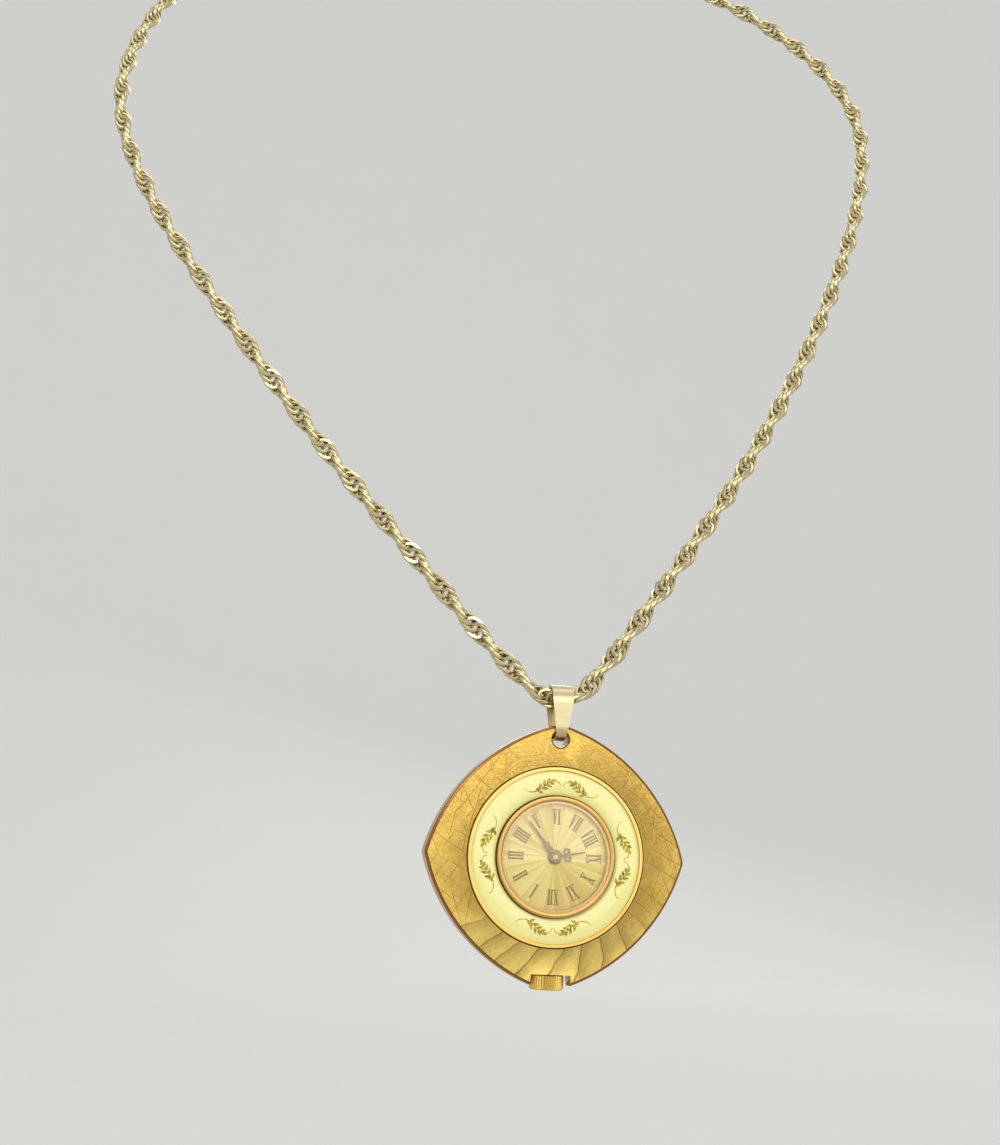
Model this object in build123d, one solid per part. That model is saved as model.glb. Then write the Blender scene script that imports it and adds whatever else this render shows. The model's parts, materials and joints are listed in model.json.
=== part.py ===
from build123d import *

import math
import os

# A pendant watch on a rope chain, built as its separate pieces, in millimetres.
# +Z is up and the dial faces -Y. The origin is the middle of the neck opening that
# the necklace goes round. Each piece of the watch is drawn in the watch frame: x
# across the dial, y up the case and z out of the dial toward the viewer, with the
# middle of the case's rim at zero. It is then placed where the necklace carries it.

# Clearances and overruns shared by all pieces
overrun = 1.0
running_gap = 0.04
sliding_gap = 0.06
seat_gap = 0.02
open_gap = 0.15

# Hidden rounds get flat sides, each this deep off the true round or this share of it
plain_round_radius = 9.3
flat_depth = 0.02
flat_share = 0.0045
deepest_flat = 0.5
fewest_flats = 8
ring_flats = 16
clasp_flats = 20

# Necklace: rope chain round the neck, its ends apart at the nape for the clasp
chain_diameter = 3.0
bend_share = 0.45
chain_route = [
    (-5.8, 42.5, 51.6),
    (-21, 41.6, 50.8),
    (-38, 36.5, 45.0),
    (-53.5, 26.0, 32.5),
    (-64.2, 12.0, 14.5),
    (-69.2, -1.5, -3.2),
    (-68.2, -9.4, -16.5),
    (-61.2, -20.1, -33.5),
    (-49.2, -31.4, -53.1),
    (-34.2, -43.4, -74.8),
    (-20.2, -54.0, -92.6),
    (-11.2, -60.7, -104.2),
    (-5.9, -64.3, -110.1),
    (-2.4, -66, -113.4),
    (2.4, -66, -113.4),
    (5.7, -64.3, -109.9),
    (10.6, -60.8, -104.1),
    (19.4, -54.1, -92.8),
    (33.2, -43.4, -74.6),
    (47.3, -30.6, -53.0),
    (59.4, -17.7, -29.8),
    (67.3, -6.2, -10.2),
    (70.4, 3.2, 6.0),
    (66.0, 13.3, 20.6),
    (54.5, 26.5, 35.5),
    (38.5, 36.7, 46.2),
    (21.5, 41.8, 51.2),
    (5.8, 42.5, 51.6),
]

# Clasp: a spring ring with a sliding tongue, and a loop ring on each chain end
end_ring_radius = 1.5
end_ring_wire_radius = 0.4
clasp_radius = 2.4
clasp_tube_radius = 0.62
clasp_tongue_half = 0.26
clasp_gap_start_angle = 108.0
clasp_gap_end_angle = 146.0
clasp_tongue_tail_angle = 58.0
clasp_pocket_angle = 9.0
clasp_travel_angle = 44.0
running_angle = 1.0
knob_half_angle = 8.0
eyelet_radius = 0.95
eyelet_wire_radius = 0.3
knob_radius = 0.3
knob_height = 0.6

# Bail: a tapered strip folded over the chain and closed through the case's hole
bail_top_radius = 2.6
bail_strip = 0.35
bail_top_width = 3.05
bail_foot_width = 1.3
bail_foot_corner = 2.05
bail_case_gap = 0.14
bail_chain_gap = 0.25
bail_drop = 5.8
bail_foot_sag = 0.2

# Case: a lozenge with bowed sides, standing on its corner
case_half_diagonal = 19.0
case_side_share = 0.9
case_corner_radius = 1.5
rim_thickness = 3.5
rim_front_bevel = 0.4
rim_back_bevel = 0.7
hole_edge_gap = 0.1
hole_radius = 1.2
hole_bevel = 0.2
notch_width = 5.8
notch_depth = 2.45
enamel_outer_radius = 12.35
enamel_recess_depth = 0.35
enamel_crown = 0.12
lip_width = 0.4
lip_height = 0.28
dial_shoulder_width = 0.85
dial_shoulder_depth = 0.58
back_bore_step = 1.15
back_bore_depth = 0.33

# Crystal and the ring that holds it
crystal_ring_wall = 0.65
crystal_ring_flange = 0.58
crystal_ring_height = 0.5
crystal_ring_slope = 0.35
crystal_thickness = 0.5
crystal_dome_height = 1.25
crystal_edge_height = 0.18

# Press-fit back
back_outer_radius = 11.6
back_flat_step = 0.25
back_thickness = 0.45
back_skirt_width = 0.55
back_skirt_depth = 0.3
pry_notch_width = 3.0
pry_notch_depth = 0.4

# Dial and hands
dial_thickness = 0.35
dial_edge_gap = 0.1
dial_hole_radius = 0.75
dial_foot_radius = 0.35
dial_foot_inset = 1.2
dial_foot_angles = (20.0, 200.0)
hour_hand_lift = 0.2
hand_thickness = 0.12
hand_spacing = 0.14
hour_hand_length = 4.5
minute_hand_length = 6.3
hand_hub_radius = 1.05
minute_hub_radius = 0.85
hand_needle_width = 0.34
hand_tip_width = 0.16
hour_loop_radius = 0.5
hour_loop_hole_radius = 0.27
hour_loop_spread = 0.52
hour_loop_distance = 1.85
minute_loop_radius = 0.46
minute_loop_hole_radius = 0.24
minute_loop_distance = 1.35
minute_loop_spacing = 0.85
hour_hand_angle = 79.0
minute_hand_angle = -39.0

# Movement: plate, casing ring and the levels behind the plate's back
plate_radius = 8.4
plate_thickness = 1.2
plate_face_gap = 0.55
plate_rim_width = 0.5
motion_recess_radius = 3.65
motion_recess_depth = 0.4
casing_ring_outer_gap = 0.05
casing_ring_wall = 0.58
casing_ring_depth = 0.95
casing_slot_width = 1.4
pivot_radius = 0.1
arbor_radius = 0.17

# Toothed wheels: module, and the share of it above and below the pitch circle
train_module = 0.1
third_module = 0.09
escape_module = 0.07
barrel_module = 0.11
winding_module = 0.111
tooth_top_share = 0.85
tooth_root_share = 1.1
barrel_teeth = 48
centre_pinion_leaves = 8
centre_teeth = 48
small_pinion_leaves = 6
third_teeth = 45
fourth_teeth = 60
escape_teeth = 15
cannon_teeth = 10
minute_wheel_teeth = 30
minute_pinion_leaves = 8
hour_wheel_teeth = 32
setting_teeth = 16
ratchet_teeth = 36
crown_wheel_teeth = 24
wheel_arms = 4
wheel_rim_width = 0.32
wheel_arm_width = 0.26
wheel_hub_radius = 0.45
wheel_thickness = 0.12

# Where the arbors stand: distances follow from the teeth, directions are set here
barrel_direction = 212.4
third_direction = 109.9
fourth_direction = 60.0
escape_direction = 0.0
pallet_direction = 298.4
balance_direction = 298.4
minute_wheel_direction = -34.7
pallet_distance = 1.85
balance_distance = 2.27

# Levels, as depths behind the back of the plate
barrel_low_depth = -0.55
barrel_high_depth = 0.3
barrel_tooth_depth = 0.02
barrel_tooth_height = 0.16
barrel_cover_thickness = 0.1
barrel_wall = 0.14
barrel_drum_gap = 0.14
barrel_recess_gap = 0.12
barrel_arbor_radius = 0.55
barrel_arbor_pivot_radius = 0.32
centre_wheel_depth = 0.36
barrel_bridge_depth = 0.52
barrel_bridge_thickness = 0.48
ratchet_depth = 1.03
ratchet_thickness = 0.35
third_pinion_depth = 0.3
third_wheel_depth = 0.7
fourth_pinion_depth = 0.62
fourth_wheel_depth = 0.12
escape_pinion_depth = 0.05
escape_wheel_depth = 0.42
pinion_height = 0.25
centre_pinion_height = 0.34
pallet_bridge_depth = 0.58
pallet_bridge_thickness = 0.22
balance_depth = 0.9
balance_thickness = 0.16
hairspring_depth = 1.13
hairspring_height = 0.08
train_bridge_depth = 1.0
train_bridge_thickness = 0.42
balance_cock_depth = 1.28
balance_cock_thickness = 0.34
back_inner_gap = 0.25

# Going train, balance and springs
escape_wheel_radius = 1.38
escape_tooth_length = 0.34
escape_tooth_lean = 9.0
escape_root_share = 0.55
pallet_span_angle = 32.0
pallet_reach_share = 0.86
pallet_arm_width = 0.22
pallet_tip_width = 0.16
fork_length = 1.72
fork_width = 0.46
fork_slot_width = 0.18
fork_slot_length = 0.22
pallet_hub_radius = 0.26
balance_radius = 2.2
balance_rim_width = 0.32
balance_arm_width = 0.3
balance_hub_radius = 0.35
roller_radius = 0.42
roller_height = 0.12
impulse_pin_radius = 0.07
impulse_pin_offset = 0.32
hairspring_inner_radius = 0.42
hairspring_pitch = 0.15
hairspring_turns = 5
hairspring_strip = 0.045
hairspring_stud_radius = 0.1
hairspring_turn = 290.0
spiral_steps = 8
mainspring_turns = 5
mainspring_strip = 0.12
mainspring_height = 0.44
mainspring_lift = 0.12
mainspring_gap = 0.06

# Bridges and cocks
bridge_edge_gap = 0.15
train_bridge_line = 0.95
bridge_finger_radius = 0.72
balance_well_gap = 0.3
bridge_foot_width = 1.35
train_foot_start_angle = 62.0
train_foot_end_angle = 172.0
barrel_bridge_line = 0.42
barrel_bridge_right = 1.75
barrel_foot_start_angle = 184.0
barrel_foot_end_angle = 282.0
cock_foot_direction = 340.0
cock_foot_inset = 1.65
cock_foot_radius = 1.05
cock_end_radius = 0.75
cock_arm_width = 1.15
pallet_cock_direction = 30.0
pallet_cock_inset = 1.8
pallet_cock_end_radius = 0.4
pallet_cock_foot_radius = 0.62
pallet_cock_width = 0.6

# Screws of the movement
screw_head_radius = 0.5
screw_head_height = 0.22
screw_shank_radius = 0.24
screw_shank_length = 0.75
screw_slot_width = 0.16
screw_slot_depth = 0.1
train_screw_angles = (70.0, 162.0)
barrel_screw_angles = (192.0, 252.0)
bridge_screw_inset = 0.85

# Winding and setting works along the stem, as heights below the watch's centre
stem_depth_in_plate = 0.05
stem_radius = 0.42
stem_square = 0.42
stem_square_start = 5.7
stem_pilot_start = 3.25
stem_pilot_end = 2.95
stem_pilot_radius = 0.18
stem_groove_height = 6.75
stem_groove_width = 0.36
stem_groove_radius = 0.24
stem_bore_gap = 0.06
winding_pinion_radius = 1.2
winding_pinion_start = 5.0
winding_pinion_length = 0.6
winding_pinion_teeth = 14
clutch_radius = 0.66
clutch_start = 3.95
clutch_length = 0.98
clutch_teeth = 10
clutch_tooth_length = 0.16
clutch_tooth_depth = 0.14
clutch_groove_radius = 0.44
clutch_groove_width = 0.28
clutch_travel = 0.35
crown_pull = 0.7
setting_wheel_height = 0.26
setting_wheel_drop = 0.56
minute_wheel_height = 0.18
minute_wheel_drop = 0.36
hour_wheel_lift = 0.12
hour_wheel_height = 0.15
hour_tube_radius = 0.62
cannon_tube_radius = 0.38
cannon_height = 0.26
centre_post_radius = 0.24
lever_thickness = 0.16
lever_lift = 0.03
setting_lever_pivot = (2.0, -6.5)
yoke_pivot = (-2.5, -4.75)
lever_hub_radius = 0.5
lever_width = 0.44
lever_pin_radius = 0.15
lever_post_radius = 0.2
yoke_finger_radius = 0.11
post_sink = 0.12

# Click, its spring, and the wheel screws on the barrel bridge
click_direction = 236.0
click_pivot_distance = 2.62
click_pivot_lead_angle = 26.0
click_thickness = 0.28
click_hub_radius = 0.34
click_width = 0.34
click_spring_radius = 3.05
click_spring_start_angle = 178.0
click_spring_end_angle = 226.0
click_spring_width = 0.12
click_spring_foot_radius = 0.3
wheel_screw_radius = 0.62
wheel_screw_height = 0.16
ratchet_square = 0.62
crown_wheel_hub_radius = 0.72

# Crown, its tube and its sealing ring
crown_radius = 2.45
crown_length = 2.15
crown_flutes = 40
crown_flute_depth = 0.13
crown_edge_bevel = 0.2
crown_cap = 0.35
crown_boss_radius = 0.95
crown_boss_length = 0.9
crown_cavity_radius = 1.5
crown_cavity_depth = 1.25
crown_tube_radius = 0.65
crown_tube_length = 2.4
crown_tube_stand = 0.18
crown_notch_gap = 0.08
gasket_radius = 1.42
gasket_thickness = 0.45

# Levels worked out from the sizes above, in the watch frame
case_side_distance = case_half_diagonal * case_side_share
hole_inset = hole_radius + hole_bevel + rim_back_bevel + hole_edge_gap
hole_height = case_half_diagonal - hole_inset
notch_floor_height = case_half_diagonal - notch_depth
front_face = rim_thickness / 2
back_face = -rim_thickness / 2
recess_floor = front_face - enamel_recess_depth
dial_top = front_face - dial_shoulder_depth - seat_gap
dial_bottom = dial_top - dial_thickness
plate_face = dial_bottom - plate_face_gap
plate_back = plate_face - plate_thickness
motion_floor = plate_face - motion_recess_depth
stem_level = plate_back + stem_depth_in_plate
movement_back = plate_back - balance_cock_depth - balance_cock_thickness
back_inner = movement_back - back_inner_gap
hour_hand_level = dial_top + hour_hand_lift
minute_hand_level = hour_hand_level + hand_thickness + hand_spacing
setting_wheel_low = plate_face - setting_wheel_drop
minute_wheel_low = plate_face - minute_wheel_drop
hour_wheel_low = plate_face + hour_wheel_lift
movement_disc_radius = plate_radius - bridge_edge_gap
bridge_screw_radius = plate_radius - bridge_screw_inset
cock_foot_distance = plate_radius - cock_foot_inset
pallet_cock_distance = plate_radius - pallet_cock_inset
dial_foot_distance = plate_radius - dial_foot_inset
cavity_radius = plate_radius + seat_gap + casing_ring_wall + casing_ring_outer_gap
back_bore_radius = cavity_radius + back_bore_step
back_flat_radius = cavity_radius + back_flat_step
front_opening_radius = cavity_radius - dial_shoulder_width
crystal_ring_inner_radius = front_opening_radius - crystal_ring_wall
enamel_inner_radius = front_opening_radius + crystal_ring_flange
clutch_slot_start = clutch_start - clutch_travel - sliding_gap
pinion_bore_radius = stem_square / math.sqrt(2) + running_gap

# The chain's lowest stretch carries the bail, and the bail carries the case
chain_low_y = chain_route[len(chain_route) // 2][1]
chain_low_z = chain_route[len(chain_route) // 2][2]
chain_height = hole_height + bail_drop
watch_frame = Location(
    Plane(
        origin=(0, chain_low_y, chain_low_z - chain_height),
        x_dir=(1, 0, 0),
        z_dir=(0, -1, 0),
    )
)

parts = {}


def behind(depth):
    """Height in the watch frame of a level this far behind the plate's back."""
    return plate_back - depth


def polar(radius, angle):
    """Point at this radius and angle in degrees, in the plane of the dial."""
    return (radius * math.cos(math.radians(angle)), radius * math.sin(math.radians(angle)))


def shifted(point, radius, angle):
    """Point this far from another point, in the direction of the angle."""
    step = polar(radius, angle)
    return (point[0] + step[0], point[1] + step[1])


def round_face(radius):
    """Circle, or for a small radius the regular polygon that stays near it."""
    if radius > plain_round_radius:
        return Circle(radius)
    depth_share = min(max(flat_depth / radius, flat_share), deepest_flat)
    sides = 4 * math.ceil(math.pi / math.acos(1 - depth_share) / 4)
    return RegularPolygon(radius, max(sides, fewest_flats))


def disc(radius, low, high, centre=(0, 0)):
    """Round plate between two levels."""
    return Pos(centre[0], centre[1], low) * extrude(round_face(radius), high - low)


def washer(outer, inner, low, high, centre=(0, 0)):
    """Round plate with a round hole."""
    return disc(outer, low, high, centre) - disc(inner, low - overrun, high + overrun, centre)


def block(width, bottom, top, low, high, centre_x=0):
    """Square-edged block, even about centre_x, from bottom to top in y."""
    body = Box(width, top - bottom, high - low, align=(Align.CENTER, Align.MIN, Align.MIN))
    return Pos(centre_x, bottom, low) * body


def bar(start, end, width, low, high):
    """Straight flat bar with square ends between two points."""
    length = math.dist(start, end)
    angle = math.degrees(math.atan2(end[1] - start[1], end[0] - start[0]))
    body = Box(length, width, high - low, align=(Align.MIN, Align.CENTER, Align.MIN))
    return Pos(start[0], start[1], low) * Rot(0, 0, angle) * body


def sector(outer, inner, start_angle, end_angle, low, high):
    """Curved bar between two radii and two angles."""
    middle = (start_angle + end_angle) / 2
    outside = ThreePointArc(polar(outer, start_angle), polar(outer, middle), polar(outer, end_angle))
    inside = ThreePointArc(polar(inner, end_angle), polar(inner, middle), polar(inner, start_angle))
    edges = [
        outside,
        Line(polar(outer, end_angle), polar(inner, end_angle)),
        inside,
        Line(polar(inner, start_angle), polar(outer, start_angle)),
    ]
    return Pos(0, 0, low) * extrude(make_face(edges), high - low)


def along_stem(radius, near, far):
    """Round bar on the stem's axis, between two heights below the centre."""
    return Pos(0, -near, stem_level) * Rot(90, 0, 0) * extrude(round_face(radius), far - near)


def toothed_disc(teeth, pitch_radius, low, high, phase=0):
    """Disc with pointed teeth of two flanks, a tooth centred at the phase angle."""
    size = 2 * pitch_radius / teeth
    tip_radius = pitch_radius + size * tooth_top_share
    root_radius = pitch_radius - size * tooth_root_share
    step = 360 / teeth
    points = []
    for index in range(teeth):
        angle = phase + index * step
        points.append(polar(root_radius, angle - step / 2))
        points.append(polar(tip_radius, angle))
    return Pos(0, 0, low) * extrude(make_face(Polyline(*points, close=True)), high - low)


def arm_windows(outer, inner, low, high, phase=0):
    """The openings between a wheel's arms, to be cut from its disc."""
    windows = []
    outer_half = math.degrees(math.asin(wheel_arm_width / 2 / outer))
    inner_half = math.degrees(math.asin(wheel_arm_width / 2 / inner))
    step = 360 / wheel_arms
    for index in range(wheel_arms):
        start = phase + index * step + outer_half
        sweep_angle = step - 2 * outer_half
        points = [polar(outer, start + sweep_angle * turn / 3) for turn in range(4)]
        points.append(polar(inner, phase + (index + 1) * step - inner_half))
        points.append(polar(inner, phase + index * step + inner_half))
        window = extrude(make_face(Polyline(*points, close=True)), high - low + 2 * overrun)
        windows.append(Pos(0, 0, low - overrun) * window)
    return windows


def armed_wheel(teeth, pitch_radius, depth, phase):
    """Train wheel with a toothed rim, four arms and a hub."""
    low = behind(depth) - wheel_thickness
    high = behind(depth)
    wheel = toothed_disc(teeth, pitch_radius, low, high, phase)
    inside = pitch_radius - wheel_rim_width
    return wheel - arm_windows(inside, wheel_hub_radius, low, high, phase)


def meshed_phase(phase, teeth, other_teeth, direction):
    """Phase that sets the other wheel's gap on this wheel's tooth, across a direction."""
    turned = (phase - direction) * teeth / other_teeth
    return direction + 180 - turned - 180 / other_teeth


def spiral_strip(inner_radius, pitch, turns, strip, low, high):
    """Flat coiled spring, as one unbroken strip."""
    outside = []
    inside = []
    for index in range(turns * spiral_steps + 1):
        turn = index / spiral_steps
        radius = inner_radius + pitch * turn
        outside.append(polar(radius + strip / 2, 360 * turn))
        inside.append(polar(radius - strip / 2, 360 * turn))
    face = make_face(Polyline(*outside, *reversed(inside), close=True))
    return Pos(0, 0, low) * extrude(face, high - low)


def screw(point, head_low, slot_angle):
    """Slotted cheese-head screw seen from the back, its head's seat at head_low."""
    head = disc(screw_head_radius, head_low - screw_head_height, head_low)
    shank = disc(screw_shank_radius, head_low, head_low + screw_shank_length)
    slot = Box(4 * screw_head_radius, screw_slot_width, 2 * screw_slot_depth)
    slot = Pos(0, 0, head_low - screw_head_height) * Rot(0, 0, slot_angle) * slot
    return Pos(point[0], point[1], 0) * (head - slot + shank)


def screw_hole(point, low, high):
    """Hole for a movement screw's shank."""
    return disc(screw_shank_radius + seat_gap, low, high, point)


def place(name, shape):
    """Keep a piece of the watch under its name, moved from the watch frame."""
    parts[name] = watch_frame * shape


# Arbor places in the plane of the dial, from the tooth counts and directions
barrel_radius = barrel_module * barrel_teeth / 2
centre_pinion_radius = barrel_module * centre_pinion_leaves / 2
centre_radius = train_module * centre_teeth / 2
third_pinion_radius = train_module * small_pinion_leaves / 2
third_radius = third_module * third_teeth / 2
fourth_pinion_radius = third_module * small_pinion_leaves / 2
fourth_radius = escape_module * fourth_teeth / 2
escape_pinion_radius = escape_module * small_pinion_leaves / 2
cannon_radius = train_module * cannon_teeth / 2
minute_wheel_radius = train_module * minute_wheel_teeth / 2
setting_radius = train_module * setting_teeth / 2
motion_distance = cannon_radius + minute_wheel_radius
minute_pinion_radius = motion_distance * minute_pinion_leaves / (minute_pinion_leaves + hour_wheel_teeth)
hour_wheel_radius = motion_distance - minute_pinion_radius
ratchet_radius = winding_module * ratchet_teeth / 2
crown_wheel_radius = winding_module * crown_wheel_teeth / 2
barrel_at = polar(barrel_radius + centre_pinion_radius, barrel_direction)
third_at = polar(centre_radius + third_pinion_radius, third_direction)
fourth_at = shifted(third_at, third_radius + fourth_pinion_radius, fourth_direction)
escape_at = shifted(fourth_at, fourth_radius + escape_pinion_radius, escape_direction)
pallet_at = shifted(escape_at, pallet_distance, pallet_direction)
balance_at = shifted(pallet_at, balance_distance, balance_direction)
minute_wheel_at = polar(motion_distance, minute_wheel_direction)
setting_distance = minute_wheel_radius + setting_radius
setting_at = (0, minute_wheel_at[1] - math.sqrt(setting_distance**2 - minute_wheel_at[0] ** 2))
winding_distance = ratchet_radius + crown_wheel_radius
crown_wheel_at = (0, barrel_at[1] - math.sqrt(winding_distance**2 - barrel_at[0] ** 2))

# Phases that set every pair of wheels tooth in gap
barrel_phase = 0.0
centre_pinion_phase = meshed_phase(
    barrel_phase, barrel_teeth, centre_pinion_leaves, barrel_direction + 180
)
centre_phase = 0.0
third_pinion_phase = meshed_phase(centre_phase, centre_teeth, small_pinion_leaves, third_direction)
third_phase = 0.0
fourth_pinion_phase = meshed_phase(third_phase, third_teeth, small_pinion_leaves, fourth_direction)
fourth_phase = 0.0
escape_pinion_phase = meshed_phase(fourth_phase, fourth_teeth, small_pinion_leaves, escape_direction)
cannon_phase = 0.0
minute_wheel_phase = meshed_phase(cannon_phase, cannon_teeth, minute_wheel_teeth, minute_wheel_direction)
minute_pinion_phase = 0.0
hour_wheel_phase = meshed_phase(
    minute_pinion_phase, minute_pinion_leaves, hour_wheel_teeth, minute_wheel_direction + 180
)
setting_direction = math.degrees(
    math.atan2(setting_at[1] - minute_wheel_at[1], setting_at[0] - minute_wheel_at[0])
)
setting_phase = meshed_phase(minute_wheel_phase, minute_wheel_teeth, setting_teeth, setting_direction)
ratchet_phase = 0.0
crown_wheel_direction = math.degrees(
    math.atan2(crown_wheel_at[1] - barrel_at[1], crown_wheel_at[0] - barrel_at[0])
)
crown_wheel_phase = meshed_phase(ratchet_phase, ratchet_teeth, crown_wheel_teeth, crown_wheel_direction)


def case_outline():
    """Lozenge on its corner, each side one bowed arc between two corners."""
    arcs = []
    for index in range(4):
        start = polar(case_half_diagonal, 90 * index)
        middle = polar(case_side_distance, 90 * index + 45)
        end = polar(case_half_diagonal, 90 * index + 90)
        arcs.append(ThreePointArc(start, middle, end))
    face = make_face(arcs)
    return fillet(face.vertices(), case_corner_radius)


def make_case():
    """Case body: outline, bevels, hole, crown notch, enamel seat, lip and bores."""
    body = Pos(0, 0, back_face) * extrude(case_outline(), rim_thickness)
    body = chamfer(body.faces().sort_by(Axis.Z)[-1].edges(), rim_front_bevel)
    body = chamfer(body.faces().sort_by(Axis.Z)[0].edges(), rim_back_bevel)
    lip_outer = enamel_outer_radius + lip_width
    body += disc(lip_outer, front_face - enamel_recess_depth, front_face + lip_height)
    body -= disc(enamel_outer_radius + seat_gap, recess_floor, front_face + overrun)
    body -= disc(front_opening_radius, back_face - overrun, front_face)
    body -= disc(cavity_radius, back_face - overrun, front_face - dial_shoulder_depth)
    body -= disc(back_bore_radius, back_face - overrun, back_face + back_bore_depth)
    body -= Pos(0, hole_height, 0) * Cylinder(hole_radius, 2 * rim_thickness)
    rims = body.edges().filter_by(GeomType.CIRCLE)
    rims = rims.filter_by(lambda edge: abs(edge.radius - hole_radius) < seat_gap)
    body = chamfer(rims, hole_bevel)
    notch_bottom = -case_half_diagonal - overrun
    body -= block(notch_width, notch_bottom, -notch_floor_height, back_face - overrun, front_face + overrun)
    body -= along_stem(crown_tube_radius, notch_floor_height - crown_tube_length, case_half_diagonal)
    body -= along_stem(stem_radius + stem_bore_gap, cavity_radius - overrun, case_half_diagonal)
    place("case_body", body)


def make_enamel_ring():
    """Enamelled disc round the crystal, slightly crowned between its edges."""
    edge_top = front_face
    middle = (enamel_inner_radius + enamel_outer_radius) / 2
    low = recess_floor + seat_gap
    outline = Polyline(
        (enamel_inner_radius, low),
        (enamel_outer_radius, low),
        (enamel_outer_radius, edge_top),
        (middle, edge_top + enamel_crown),
        (enamel_inner_radius, edge_top),
        close=True,
    )
    place("enamel_ring", revolve(Plane.XZ * make_face(outline), Axis.Z))


def make_crystal_ring():
    """Bright ring that holds the crystal, its inner wall sloping down to the dial."""
    outer = enamel_inner_radius - seat_gap
    top = front_face + crystal_ring_height
    foot = front_opening_radius - sliding_gap
    low = dial_top + seat_gap
    flange = recess_floor + seat_gap
    ledge = crystal_ring_inner_radius + crystal_ring_slope
    outline = Polyline(
        (crystal_ring_inner_radius, low),
        (foot, low),
        (foot, flange),
        (outer, flange),
        (outer - crystal_ring_slope / 2, top),
        (ledge + seat_gap, top),
        (ledge + seat_gap, top - crystal_edge_height),
        (crystal_ring_inner_radius, top - crystal_edge_height),
        close=True,
    )
    place("crystal_ring", revolve(Plane.XZ * make_face(outline), Axis.Z))


def dome(radius, low, height):
    """Ball whose cap rises to this height over a round of this radius at the low level."""
    ball_radius = (radius**2 + height**2) / (2 * height)
    return Pos(0, 0, low + height - ball_radius) * Sphere(ball_radius)


def make_crystal():
    """Domed crystal, seated on the ledge of its ring."""
    edge = crystal_ring_inner_radius + crystal_ring_slope
    low = front_face + crystal_ring_height - crystal_edge_height + seat_gap
    blank = Pos(0, 0, low) * extrude(Circle(edge), crystal_dome_height)
    crystal = blank & dome(edge, low + crystal_edge_height, crystal_dome_height - crystal_edge_height)
    crystal -= dome(edge - crystal_thickness, low, crystal_dome_height - crystal_thickness)
    place("crystal", crystal)


def make_case_back():
    """Press-fit back: a shallow pan with a skirt in the case's bore and a pry notch."""
    outer_back = back_inner - back_thickness
    rim_low = back_face - seat_gap
    skirt_outer = back_bore_radius - seat_gap
    skirt_inner = skirt_outer - back_skirt_width
    outline = Polyline(
        (0, outer_back),
        (back_flat_radius, outer_back),
        (back_outer_radius, rim_low - back_thickness),
        (back_outer_radius, rim_low),
        (skirt_outer, rim_low),
        (skirt_outer, back_face + back_skirt_depth),
        (skirt_inner, back_face + back_skirt_depth),
        (back_flat_radius - back_thickness / 2, back_inner),
        (0, back_inner),
        close=True,
    )
    pan = revolve(Plane.XZ * make_face(outline), Axis.Z)
    notch = block(
        pry_notch_width,
        back_outer_radius - pry_notch_depth,
        back_outer_radius + overrun,
        rim_low - back_thickness / 2,
        rim_low + overrun,
    )
    place("case_back", pan - notch)


def make_dial():
    """Dial plate with the hole for the hands' tubes and two feet that reach the plate."""
    plate = washer(front_opening_radius + dial_edge_gap, dial_hole_radius, dial_bottom, dial_top)
    for angle in dial_foot_angles:
        foot = disc(dial_foot_radius, plate_face, dial_bottom + seat_gap, polar(dial_foot_distance, angle))
        plate += foot
    place("dial", plate)


def needle(base_distance, length, low, high):
    """Tapering end of a hand, pointing up."""
    points = [
        (-hand_needle_width / 2, base_distance),
        (hand_needle_width / 2, base_distance),
        (hand_tip_width / 2, length),
        (-hand_tip_width / 2, length),
    ]
    return Pos(0, 0, low) * extrude(make_face(Polyline(*points, close=True)), high - low)


def make_hour_hand():
    """Short pierced hand: hub, a pair of loops side by side, then a needle."""
    low = hour_hand_level
    high = low + hand_thickness
    hand = disc(hand_hub_radius, low, high)
    hand += bar((0, 0), (0, hour_loop_distance), hand_needle_width, low, high)
    hand += needle(hour_loop_distance, hour_hand_length, low, high)
    for side in (-1, 1):
        centre = (side * hour_loop_spread, hour_loop_distance)
        hand += disc(hour_loop_radius, low, high, centre)
    for side in (-1, 1):
        centre = (side * hour_loop_spread, hour_loop_distance)
        hand -= disc(hour_loop_hole_radius, low - overrun, high + overrun, centre)
    hand -= disc(hour_tube_radius, low - overrun, high + overrun)
    place("hour_hand", Rot(0, 0, -hour_hand_angle) * hand)


def make_minute_hand():
    """Long pierced hand: hub, two loops in line, then a needle."""
    low = minute_hand_level
    high = low + hand_thickness
    hand = disc(minute_hub_radius, low, high)
    last_loop = minute_loop_distance + minute_loop_spacing
    hand += bar((0, 0), (0, last_loop), hand_needle_width, low, high)
    hand += needle(last_loop, minute_hand_length, low, high)
    for distance in (minute_loop_distance, last_loop):
        hand += disc(minute_loop_radius, low, high, (0, distance))
    for distance in (minute_loop_distance, last_loop):
        hand -= disc(minute_loop_hole_radius, low - overrun, high + overrun, (0, distance))
    hand -= disc(cannon_tube_radius, low - overrun, high + overrun)
    place("minute_hand", Rot(0, 0, -minute_hand_angle) * hand)


def make_casing_ring():
    """Ring that fills the space between the movement and the case."""
    outer = cavity_radius - casing_ring_outer_gap
    low = plate_back - casing_ring_depth
    body = washer(outer, plate_radius + seat_gap, low, dial_bottom)
    slot_low = stem_level - casing_slot_width / 2
    body -= block(casing_slot_width, -outer - overrun, 0, slot_low, dial_bottom + overrun)
    place("casing_ring", body)


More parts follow.
